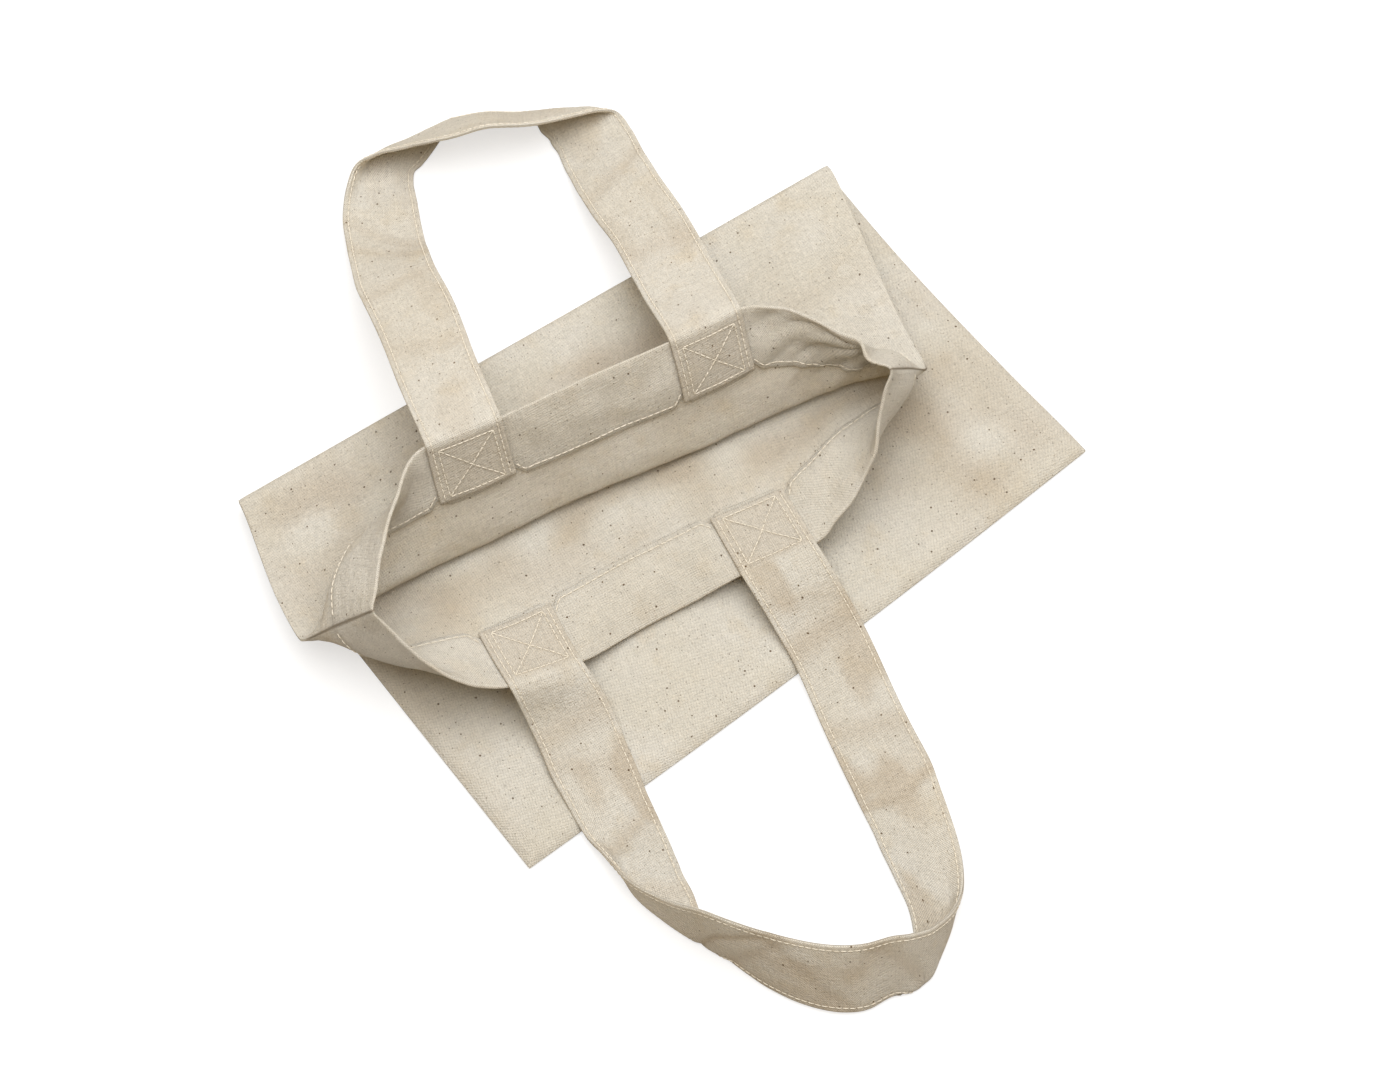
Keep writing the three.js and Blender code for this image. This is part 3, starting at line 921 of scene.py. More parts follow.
def thicken(piece: bpy.types.Object, thickness: float) -> None:
    """Gives a single-faced sheet its thickness.

    Args:
        piece: The sheet.
        thickness: Its thickness, in millimetres.
    """
    body = piece.modifiers.new("thickness", "SOLIDIFY")
    body.thickness = thickness * MILLIMETRE
    body.offset = 0.0
    body.use_rim = True


@dataclass(frozen=True)
class Patch:
    """A soft patch of painted shade on the cloth.

    Attributes:
        middle: Its place on the flat cut, across and along, in millimetres.
        reach: How far it spreads across and along.
        depth: How strongly it shows, from 0 to 1.
    """

    middle: tuple[float, float]
    reach: tuple[float, float]
    depth: float

    def at(self, across: np.ndarray, along: np.ndarray) -> np.ndarray:
        """How strongly it shows at places on the flat cut."""
        (x, y), (wide, high) = self.middle, self.reach
        return self.depth * np.exp(-(((across - x) / wide) ** 2 + ((along - y) / high) ** 2))


# Patches of painted shade on each panel, given on its flat cut.
SHADE_PATCHES = {
    Side.BACK: (
        Patch((50.0, 275.0), (50.0, 28.0), 0.75),
        Patch((205.0, 268.0), (45.0, 22.0), 0.75),
        Patch((130.0, 290.0), (60.0, 25.0), 0.40),
        Patch((305.0, 290.0), (40.0, 32.0), 0.45),
        Patch((15.0, 295.0), (25.0, 30.0), 0.30),
        Patch((190.0, 346.0), (130.0, 15.0), 0.30),
    ),
    Side.FRONT: (
        Patch((288.0, 50.0), (34.0, 38.0), 0.85),
        Patch((18.0, 130.0), (20.0, 60.0), 0.40),
        Patch((80.0, 331.0), (60.0, 9.0), 0.60),
        Patch((180.0, 336.0), (60.0, 8.0), 0.85),
        Patch((262.0, 346.0), (55.0, 9.0), 0.70),
        Patch((110.0, 135.0), (60.0, 18.0), 0.40),
        Patch((338.0, 120.0), (14.0, 55.0), 0.25),
        Patch((175.0, 350.0), (170.0, 24.0), 0.48),
        Patch((45.0, 345.0), (40.0, 20.0), 0.70),
        Patch((318.0, 50.0), (24.0, 40.0), 0.75),
    ),
}


@dataclass
class Panel:
    """One of the two cloth panels, with the hem turned in along its upper edge.

    Attributes:
        drape: How it lies.
        handle_shift: How far the handle is sewn from the panel's middle.
        hem_gap: From the middle of the panel's cloth to the middle of the turned cloth.
        puff: How far the hem swells beside the straps.
        lower_rows: Rows of the grid below the fold.
        fold_rows: Rows round the fold.
        upper_rows: Rows from the fold to the hem.
        hem_rows: Rows in the hem.
        columns: Distances of the grid's columns from the left seam.
        hem_along: Distances of the hem's rows from the bottom seam.
        hem_places: Places of the outer cloth at the hem.
        hem_outward: Unit vectors out of the bag there.
    """

    drape: Drape
    handle_shift: float
    hem_gap: float = 1.3
    puff: float = 2.0
    lower_rows: int = 84
    fold_rows: int = 14
    upper_rows: int = 66
    hem_rows: int = 22
    columns: np.ndarray = field(init=False)
    hem_along: np.ndarray = field(init=False)
    hem_places: np.ndarray = field(init=False)
    hem_outward: np.ndarray = field(init=False)

    EDGE_COLUMNS = (0.0, 0.4, 0.9, 1.5, 2.2, 3.0, 4.0, 5.2, 6.6, 8.2, 10.0)
    COLUMN_STEP = 2.2
    PATTERN = {Side.BACK: 3.0, Side.FRONT: 7.0}  # which layer of the cloth's pattern is read
    SOFT_SEED = {Side.BACK: 12, Side.FRONT: 11}
    SOFT_WAVES = (38.0, 120.0)  # shortest and longest of the soft waves, in millimetres
    SMALL_SEED = {Side.BACK: 22, Side.FRONT: 21}
    SMALL_WAVES = (11.0, 26.0)
    UPPER_HEIGHTS = (0.75, 0.16)  # of the soft and the small waves above the fold
    UPPER_START = (5.0, 40.0)  # how far past the fold they begin, and are full
    UPPER_EDGE = (0.0, 14.0)  # how far from a side seam they begin, and are full
    LOWER_HEIGHTS = (0.35, 0.35, 0.10)  # of the lower half's crown and of its waves
    LOWER_END = (-14.0, 0.0)  # the way up to the fold in which they end
    LOWER_EDGE = (8.0, 40.0)  # how far from a seam they begin, and are full
    PUCKER_HEIGHT = 0.3  # of the puckers along the side seams
    PUCKER_LENGTH = 8.5
    PUCKER_START = (1.0, 4.0)
    PUCKER_REACH = 7.0
    GATHER_HEIGHT = 1.15  # of the creases that run together at the pinch
    GATHER_TURNS = 17.0  # how closely they follow each other round the pinch
    GATHER_START = (3.0, 22.0)  # how far left of the pinch they begin, and are full
    GATHER_END = (56.0, 76.0)  # how far left of it they fade, and end
    GATHER_DEPTH = (32.0, 60.0)  # how far down from it they fade, and end
    PINCH = (334.0, 397.0)  # where the creases of the back hem run together
    HEM_EDGE_TURNS = (30.0, 60.0, 90.0, 120.0, 150.0)  # degrees round the mouth's edge
    HEM_TUCK = ((0.0, 0.93), (0.35, 0.72), (0.2, 0.5))  # how the hem's edge is tucked under: down, and in
    HEM_DRAW = 5.0  # how far a hem is drawn up where it goes under a strap
    HEM_DRAW_REACH = 6.0
    HEM_SEAM_GAP = 0.72  # between the panel and the turned cloth at the side seams
    HEM_SEAM_REACH = (2.0, 14.0)  # how far from them it begins to widen, and is full
    HEM_FREE = (14.0, 34.0)  # how far from them the hem begins to swell, and swells fully
    HEM_SEED = 31
    HEM_WAVES = (14.0, 40.0)  # shortest and longest waves of the swelling hem
    EDGE_CLOTH = 2.0  # length of cloth round the mouth's edge
    TUCK_CLOTH = 3.0  # the same with the tucked edge
    SEAM_GROOVE = 0.6  # depth of the groove along the opened side seams
    GROOVE_REACH = 1.1
    OPENED_FROM = 342.0  # distance from the bottom seam at which the panels part
    OPENED_SPREAD = 4.0
    STITCH_SHADE = 0.20
    STRIP_WIDTH = 11.5  # width of the seam allowance that shows through
    STRIP_SHOWS = 0.9
    CLOUD_SEED = 71
    CLOUD_WAVES = (26.0, 70.0, 9)  # shortest, longest and number of the waves in the patches

    @property
    def name(self) -> str:
        """Name of the piece and its node."""
        return f"{self.drape.side.value}_panel"

    @property
    def strap_middles(self) -> list[float]:
        """Where the two ends of the handle are sewn, from the left seam."""
        middle = CUT.width / 2 + self.handle_shift
        return [middle + end * CUT.strap_spacing / 2 for end in (-1, 1)]

    def _columns(self) -> np.ndarray:
        """Where the grid's columns lie.

        Returns:
            Distances from the left seam.
        """
        edge = np.array(self.EDGE_COLUMNS)
        count = round((CUT.width - 2 * edge[-1]) / self.COLUMN_STEP)
        inner = np.linspace(edge[-1], CUT.width - edge[-1], count)
        return np.concatenate([edge, inner[1:-1], CUT.width - edge[::-1]])

    def _rows(self) -> np.ndarray:
        """Where the grid's rows lie.

        Returns:
            Distances from the bottom seam, rows by columns.
        """
        fold = self.drape.fold_height(self.columns)
        hem = CUT.height - CUT.hem
        edge = np.array(self.EDGE_COLUMNS)
        low = np.repeat(edge[:, None], len(fold), axis=1)
        lower_share, fold_share, upper_share = (
            np.linspace(0.0, 1.0, count + 1)[1:, None]
            for count in (self.lower_rows, self.fold_rows, self.upper_rows)
        )
        lower = edge[-1] + lower_share * (fold - edge[-1])
        turning = fold + fold_share * CUT.fold_run
        upper = turning[-1] + upper_share * (hem - turning[-1])
        self.hem_along = np.linspace(hem, CUT.height, self.hem_rows + 1)
        hem_part = np.repeat(self.hem_along[1:, None], len(fold), axis=1)
        return np.concatenate([low, lower, turning, upper, hem_part])

    def _outward(self, places: np.ndarray) -> np.ndarray:
        """Unit vectors out of the bag on a grid of places."""
        normal = unit(np.cross(np.gradient(places, axis=1), np.gradient(places, axis=0)))
        return normal if self.drape.side is Side.FRONT else -normal

    def _unevenness(self, across: np.ndarray, along: np.ndarray) -> np.ndarray:
        """How far the cloth stands out of its smooth shape.

        Args:
            across: Distances from the left seam.
            along: Distances from the bottom seam.

        Returns:
            Distances in millimetres.
        """
        side = self.drape.side
        to_side = to_seam_side(across)
        past_fold = along - self.drape.fold_height(across) - CUT.fold_run
        upper = smooth(*self.UPPER_START, past_fold)
        soft = Ripple(self.SOFT_SEED[side], *self.SOFT_WAVES).at(across, along)
        small = Ripple(self.SMALL_SEED[side], *self.SMALL_WAVES).at(across, along)
        waves = self.UPPER_HEIGHTS[0] * soft + self.UPPER_HEIGHTS[1] * small
        lift = upper * smooth(*self.UPPER_EDGE, to_side) * waves
        pucker = np.exp(-to_side / self.PUCKER_REACH) * smooth(*self.PUCKER_START, to_side) * upper
        wander = 2.0 * np.sin(along * 0.13)
        lift = lift + pucker * self.PUCKER_HEIGHT * np.sin(along * math.tau / self.PUCKER_LENGTH + wander)
        if side is Side.BACK:
            return lift + self._gathers(across, along)
        below = 1.0 - smooth(*self.LOWER_END, past_fold + CUT.fold_run)
        flat = below * smooth(*self.LOWER_EDGE, np.minimum(to_side, along))
        crown, soft_height, small_height = self.LOWER_HEIGHTS
        return lift + flat * (crown + soft_height * soft + small_height * small)

    def _gathers(self, across: np.ndarray, along: np.ndarray) -> np.ndarray:
        """Creases in the back hem that run from its pinched right end towards the handle.

        Args:
            across: Distances from the left seam.
            along: Distances from the bottom seam.

        Returns:
            How far they lift the cloth.
        """
        left, down = self.PINCH[0] - across, self.PINCH[1] - along
        angle = np.arctan2(down, np.maximum(left, 1.0)) * self.GATHER_TURNS
        reach = smooth(*self.GATHER_START, left) * (1.0 - smooth(*self.GATHER_END, left))
        reach = reach * (1.0 - smooth(*self.GATHER_DEPTH, down))
        wave = np.sin(angle + 0.6) + 0.35 * np.sin(2.0 * angle + 0.3 * across)
        return reach * self.GATHER_HEIGHT * wave

    def _beside_straps(self, across: np.ndarray) -> np.ndarray:
        """Distance from the nearest strap's edge; below nothing is under the strap."""
        gaps = [np.abs(across - middle) - CUT.strap_width / 2 for middle in self.strap_middles]
        return np.minimum(*gaps)

    def hem_edge(self, across: np.ndarray) -> np.ndarray:
        """Where the turned cloth ends: it draws up a little where it goes under a strap.

        Args:
            across: Distances from the left seam.

        Returns:
            Distances from the bottom seam.
        """
        beside = self._beside_straps(across)
        drawn = 1.0 - smooth(0.0, self.HEM_DRAW_REACH, beside)
        return CUT.height - CUT.hem + self.HEM_DRAW * drawn * smooth(-4.0, 0.0, beside)

    def _hem_gap(self, across: np.ndarray, along: np.ndarray) -> np.ndarray:
        """From the panel's cloth to the turned cloth of the hem.

        Args:
            across: Distances from the left seam.
            along: Distances from the bottom seam.

        Returns:
            Distances in millimetres.
        """
        to_side = to_seam_side(across)
        gap = self.HEM_SEAM_GAP + (self.hem_gap - self.HEM_SEAM_GAP) * smooth(*self.HEM_SEAM_REACH, to_side)
        up_hem = np.clip((along - (CUT.height - CUT.hem)) / CUT.hem, 0.0, 1.0)
        swell = np.sin(math.pi * (0.12 + 0.88 * up_hem)) ** 0.8
        free = smooth(*self.HEM_FREE, to_side) * smooth(0.0, self.HEM_DRAW_REACH, self._beside_straps(across))
        uneven = 0.75 + 0.35 * Ripple(self.HEM_SEED, *self.HEM_WAVES).at(across, along)
        return gap + self.puff * swell * free * uneven

    def _opened(self, along: np.ndarray) -> np.ndarray:
        """0 where the panels lie together and 1 where they have parted."""
        return smooth(self.OPENED_FROM - self.OPENED_SPREAD, self.OPENED_FROM + self.OPENED_SPREAD, along)

    def _outer(self, across: np.ndarray, along: np.ndarray) -> np.ndarray:
        """Places of the panel's outer cloth, from the bottom seam up to the mouth.

        Args:
            across: Distances from the left seam.
            along: Distances from the bottom seam.

        Returns:
            Points of the bag's plan.
        """
        base = self.drape.places(across.ravel(), along.ravel()).reshape(*along.shape, 3)
        to_side = to_seam_side(across)
        seated = smooth(0.0, 3.0, np.minimum(to_side, along))
        seat = CUT.seam_seat + (CUT.seat - CUT.seam_seat) * seated
        groove = self.SEAM_GROOVE * np.exp(-to_side / self.GROOVE_REACH) * self._opened(along)
        rise = seat + self._unevenness(across, along) - groove
        return base + rise[..., None] * self._outward(base)

    def _turned_in(self, outer: np.ndarray) -> tuple[np.ndarray, np.ndarray]:
        """The turned cloth: round the mouth's edge, down the hem's inside and under its lower edge.

        Args:
            outer: Grid of places of the panel's outer cloth.

        Returns:
            Grids of its places, and of its distances from the bottom seam on the flat cut.
        """
        top, upwards = outer[-1], unit(outer[-1] - outer[-2])
        mouth = np.full(len(self.columns), CUT.height)
        half_gap = self._hem_gap(self.columns, mouth)[:, None] / 2
        places, lengths = [], []
        for degrees in self.HEM_EDGE_TURNS:
            turn = math.radians(degrees)
            inwards = half_gap * (1.0 - math.cos(turn)) * self.hem_outward[-1]
            places.append(top - inwards + half_gap * math.sin(turn) * upwards)
            lengths.append(mouth + turn * self.hem_gap / 2)
        edge = self.hem_edge(self.columns)
        for share in np.linspace(0.0, 1.0, self.hem_rows + 1):
            mark = CUT.height + share * (edge - CUT.height)
            places.append(self.on_hem(self.columns, mark, self._hem_gap(self.columns, mark)))
            lengths.append(2 * CUT.height - mark + self.EDGE_CLOTH)
        edge_gap = self._hem_gap(self.columns, edge)
        for down, share in self.HEM_TUCK:
            places.append(self.on_hem(self.columns, edge, share * edge_gap) - down * upwards)
            lengths.append(mouth + CUT.hem + self.TUCK_CLOTH)
        return np.stack(places), np.stack(lengths)

    def shape(self) -> tuple[np.ndarray, np.ndarray, np.ndarray]:
        """The whole sheet, from the bottom seam up to the mouth and down the hem's inside.

        Returns:
            Grids of the places in the bag's plan, the places on the flat cut and the tones.
        """
        self.columns = self._columns()
        along = self._rows()
        outer = self._outer(np.repeat(self.columns[None, :], len(along), axis=0), along)
        self.hem_places = outer[-self.hem_rows - 1 :]
        self.hem_outward = self._outward(outer)[-self.hem_rows - 1 :]
        turned, turned_along = self._turned_in(outer)
        along = np.concatenate([along, turned_along])
        across = np.repeat(self.columns[None, :], len(along), axis=0)
        layer = np.full(along.shape, self.PATTERN[self.drape.side])
        cloth = np.stack([across, along, layer], axis=-1)
        return np.concatenate([outer, turned]), cloth, self._tones(across, along)

    def _tones(self, across: np.ndarray, along: np.ndarray) -> np.ndarray:
        """How layered, how near a seam and how shaded the cloth is, each painted as shade.

        Args:
            across: Distances from the left seam.
            along: Distances from the bottom seam.

        Returns:
            Three shares from 0 to 1 per place.
        """
        to_side = to_seam_side(across)
        past_strip = to_side - self.STRIP_WIDTH - 0.5 * np.sin(along * 0.07) - 0.3 * np.sin(along * 0.31)
        below_fold = 1.0 - smooth(-4.0, 4.0, along - self.drape.fold_height(across))
        strip = (1.0 - smooth(-0.8, 0.8, past_strip)) * below_fold
        # Painted shade where the hem's layers and the seam allowance under the cloth keep the light from
        # shining through.
        layered = np.maximum(smooth(-0.5, 0.5, along - (CUT.height - CUT.hem)), self.STRIP_SHOWS * strip)
        # Painted shadow in the gap of the parted side seams, and painted shade along the hem's stitch lines.
        seam = (1.0 - smooth(0.2, 1.1, to_side)) * self._opened(along)
        sewn = HEM_LINE + self.hem_edge(across)
        turned = 2 * CUT.height + self.EDGE_CLOTH - along
        from_line = np.minimum(np.abs(along - sewn), np.abs(turned - sewn))
        seam = np.maximum(seam, self.STITCH_SHADE * (1.0 - smooth(0.5, 2.0, from_line)))
        return np.stack([layered, seam, self._painted_shade(across, along)], axis=-1)

    def _painted_shade(self, across: np.ndarray, along: np.ndarray) -> np.ndarray:
        """Soft patches of painted shade: in the valley under the back panel's bend, beside the back hem,
        under the front hem and on the lower half.

        Args:
            across: Distances from the left seam.
            along: Distances from the bottom seam.

        Returns:
            How strongly they show, from 0 to 1.
        """
        found = sum(patch.at(across, along) for patch in SHADE_PATCHES[self.drape.side])
        cloud = 0.65 + 0.5 * Ripple(self.CLOUD_SEED, *self.CLOUD_WAVES).at(across, along)
        return np.clip(found * cloud, 0.0, 1.0)

    def on_hem(self, across: np.ndarray, along: np.ndarray, depth: Any) -> np.ndarray:
        """Places at a depth into the bag from the middle of the panel's cloth, within the hem.

        Args:
            across: Distances from the left seam.
            along: Distances from the bottom seam.
            depth: Depths into the bag; below nothing is outside it.

        Returns:
            Points of the bag's plan.
        """
        columns = np.interp(across, self.columns, np.arange(len(self.columns)))
        rows = np.interp(along, self.hem_along, np.arange(len(self.hem_along)))
        outward = unit(read_grid(self.hem_outward, rows, columns))
        deep = np.broadcast_to(np.asarray(depth, dtype=float), across.shape)[:, None]
        return read_grid(self.hem_places, rows, columns) - deep * outward

    def hem_face(self, across: np.ndarray, along: np.ndarray) -> np.ndarray:
        """Depth of the hem's inner face."""
        return self._hem_gap(across, along) + CUT.cloth / 2

    def build(self, material: bpy.types.Material) -> bpy.types.Object:
        """Makes the panel's piece.

        Args:
            material: The cloth.

        Returns:
            The piece.
        """
        grids = self.shape()
        if self.drape.side is Side.BACK:
            grids = tuple(grid[:, ::-1] for grid in grids)
        piece = grid_object(f"{self.name}_cloth", *grids)
        thicken(piece, CUT.cloth)
        dress(piece, material)
        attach(piece, "bag")
        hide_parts(self.name)
        return piece


@dataclass
class Allowance:
    """A strip of raw seam allowance inside the bag.

    Attributes:
        name: The CAD node it stands for.
        across: Its two edges, or its two ends along the bottom, from the left seam.
        along: Its two ends, or its two edges along the bottom, from the bottom seam.
    """

    name: str
    across: tuple[float, float]
    along: tuple[float, float]

    COLUMN_STEP = 4.0
    ROW_STEP = 3.0
    FEWEST = 4
    PATTERN = 12.0
    TONES = (1.0, 0.0, 0.0)  # layered, so painted shade where no light shines through, and no painted shade by seams or in patches

    def build(self, material: bpy.types.Material) -> bpy.types.Object:
        """Makes the strip midway between the two panels.

        Args:
            material: The cloth.

        Returns:
            The piece.
        """
        marks = [
            np.linspace(low, high, max(self.FEWEST, round((high - low) / step)))
            for (low, high), step in ((self.across, self.COLUMN_STEP), (self.along, self.ROW_STEP))
        ]
        across, along = np.meshgrid(*marks)
        flat = (across.ravel(), along.ravel())
        middle = (BACK_DRAPE.places(*flat) + FRONT_DRAPE.places(*flat)) / 2
        cloth = np.stack([across, along, np.full_like(across, self.PATTERN)], axis=-1)
        tones = np.broadcast_to(np.array(self.TONES), cloth.shape)
        piece = grid_object(f"{self.name}_cloth", middle.reshape(*across.shape, 3), cloth, tones)
        thicken(piece, 2 * CUT.cloth)
        dress(piece, material)
        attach(piece, "bag")
        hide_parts(self.name)
        return piece


@dataclass
class Stitches:
    """Runs of sewing stitches, kept together as one piece.

    Attributes:
        name: The piece's name.
        pitch: Millimetres from one stitch to the next.
        length: Length of the thread that shows.
        radius: Radius of the thread.
        spans: Rings round each stitch that was added.
    """

    name: str
    pitch: float = 3.6
    length: float = 3.25
    radius: float = 0.30
    spans: list[np.ndarray] = field(default_factory=list)

    SIDES = 6
    # Along a stitch: the share of its length, how far the thread lifts off, and its thickness.
    SHAPE = (
        (0.0, -0.32, 0.0), (0.05, 0.0, 0.8), (0.3, 0.7, 1.0),
        (0.7, 0.7, 1.0), (0.95, 0.0, 0.8), (1.0, -0.32, 0.0),
    )

    def run(self, places: np.ndarray, outward: np.ndarray) -> None:
        """Adds a line of stitches.

        Args:
            places: Points along the line on the cloth's face.
            outward: Unit vectors out of the cloth at those points.
        """
        lengths = travelled_along(places)
        count = max(1, int(round(lengths[-1] / self.pitch)))
        pitch = lengths[-1] / count
        shares, lifts, sizes = np.array(self.SHAPE).T
        turns = np.linspace(0.0, math.tau, self.SIDES + 1)[None, :, None]
        for index in range(count):
            marks = index * pitch + (pitch - self.length) / 2 + shares * self.length
            centre = read_line(marks, lengths, places)
            forward = unit(np.repeat((centre[-1] - centre[0])[None], len(marks), axis=0))
            sideways = unit(np.cross(forward, unit(read_line(marks, lengths, outward))))
            lifted = unit(np.cross(sideways, forward))
            centre = centre + lifted * (self.radius * lifts)[:, None]
            ring = np.cos(turns) * sideways[:, None] + np.sin(turns) * lifted[:, None]
            self.spans.append(centre[:, None] + self.radius * sizes[:, None, None] * ring)

    def build(self, material: bpy.types.Material, slot: str) -> bpy.types.Object:
        """Makes one piece of all the stitches: one long tube, cut between them.

        Args:
            material: The thread.
            slot: Not used.

        Returns:
            The piece.
        """
        places = np.concatenate(self.spans)
        rows, columns = places.shape[:2]
        each = len(self.SHAPE)
        shell = bmesh.new()
        bmesh.ops.create_grid(shell, x_segments=columns - 1, y_segments=rows - 1, size=0.5)
        keep = shell.verts.layers.float_vector.new(CLOTH)
        lowest = {
            face: min(grid_mark(vertex, rows, columns)[0] for vertex in face.verts) for face in shell.faces
        }
        bridges = [face for face, low in lowest.items() if low % each == each - 1]
        row_places = to_row(places)
        for vertex in shell.verts:
            row, column = mark = grid_mark(vertex, rows, columns)
            vertex[keep] = (column / self.SIDES, self.SHAPE[row % each][0] * self.length * MILLIMETRE, 0.0)
            vertex.co = row_places[mark]
        bmesh.ops.delete(shell, geom=bridges, context="FACES")
        weld(shell)
        piece = link_mesh(self.name, shell)
        dress(piece, material)
        return piece


@dataclass
class HemSewing:
    """The line of stitches that holds a panel's hem, seen on both faces."""

    panel: Panel

    INSET = 3.0  # from the side seams to the ends of the line
    READINGS = 400
    STRAP_SPACE = 0.5  # from a strap's edge to the line on the inside
    FEWEST = 4  # readings that are too short a stretch to be sewn

    def build(self, material: bpy.types.Material) -> bpy.types.Object:
        """Makes the hem's stitches.

        Args:
            material: The thread.

        Returns:
            The piece.
        """
        sewing = Stitches(f"{self.panel.drape.side.value}_hem_stitches")
        across = np.linspace(self.INSET, CUT.width - self.INSET, self.READINGS)
        along = self.panel.hem_edge(across) + HEM_LINE
        inner = self.panel.hem_face(across, along)
        covered = np.zeros(len(across), dtype=bool)
        for middle in self.panel.strap_middles:
            covered |= np.abs(across - middle) < CUT.strap_width / 2 + self.STRAP_SPACE
        outward = self.panel.on_hem(across, along, 0.0) - self.panel.on_hem(across, along, 1.0)
        sewing.run(self.panel.on_hem(across, along, -CUT.cloth / 2), outward)
        edges = np.flatnonzero(np.diff(covered.astype(int))) + 1
        for part in np.split(np.arange(len(across)), edges):
            if not covered[part[0]] and len(part) > self.FEWEST:
                sewing.run(self.panel.on_hem(across, along, inner)[part], -outward[part])
        piece = sewing.build(material, "panel_cloth")
        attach(piece, "bag")
        return piece


@dataclass(frozen=True)
class Crease:
    """A crease across a strap.

    Attributes:
        place: Where it crosses the strap's middle line, from its left raw end, in millimetres.
        slant: How far it moves along the strap for each millimetre outwards.
        depth: How deep it is.
        width: Half its width.
    """

    place: float
    slant: float
    depth: float
    width: float

    def at(self, travelled: np.ndarray, out: np.ndarray) -> np.ndarray:
        """Its depth at places along the strap and out of its middle line."""
        return self.depth * np.exp(-(((travelled - self.place - self.slant * out) / self.width) ** 2))


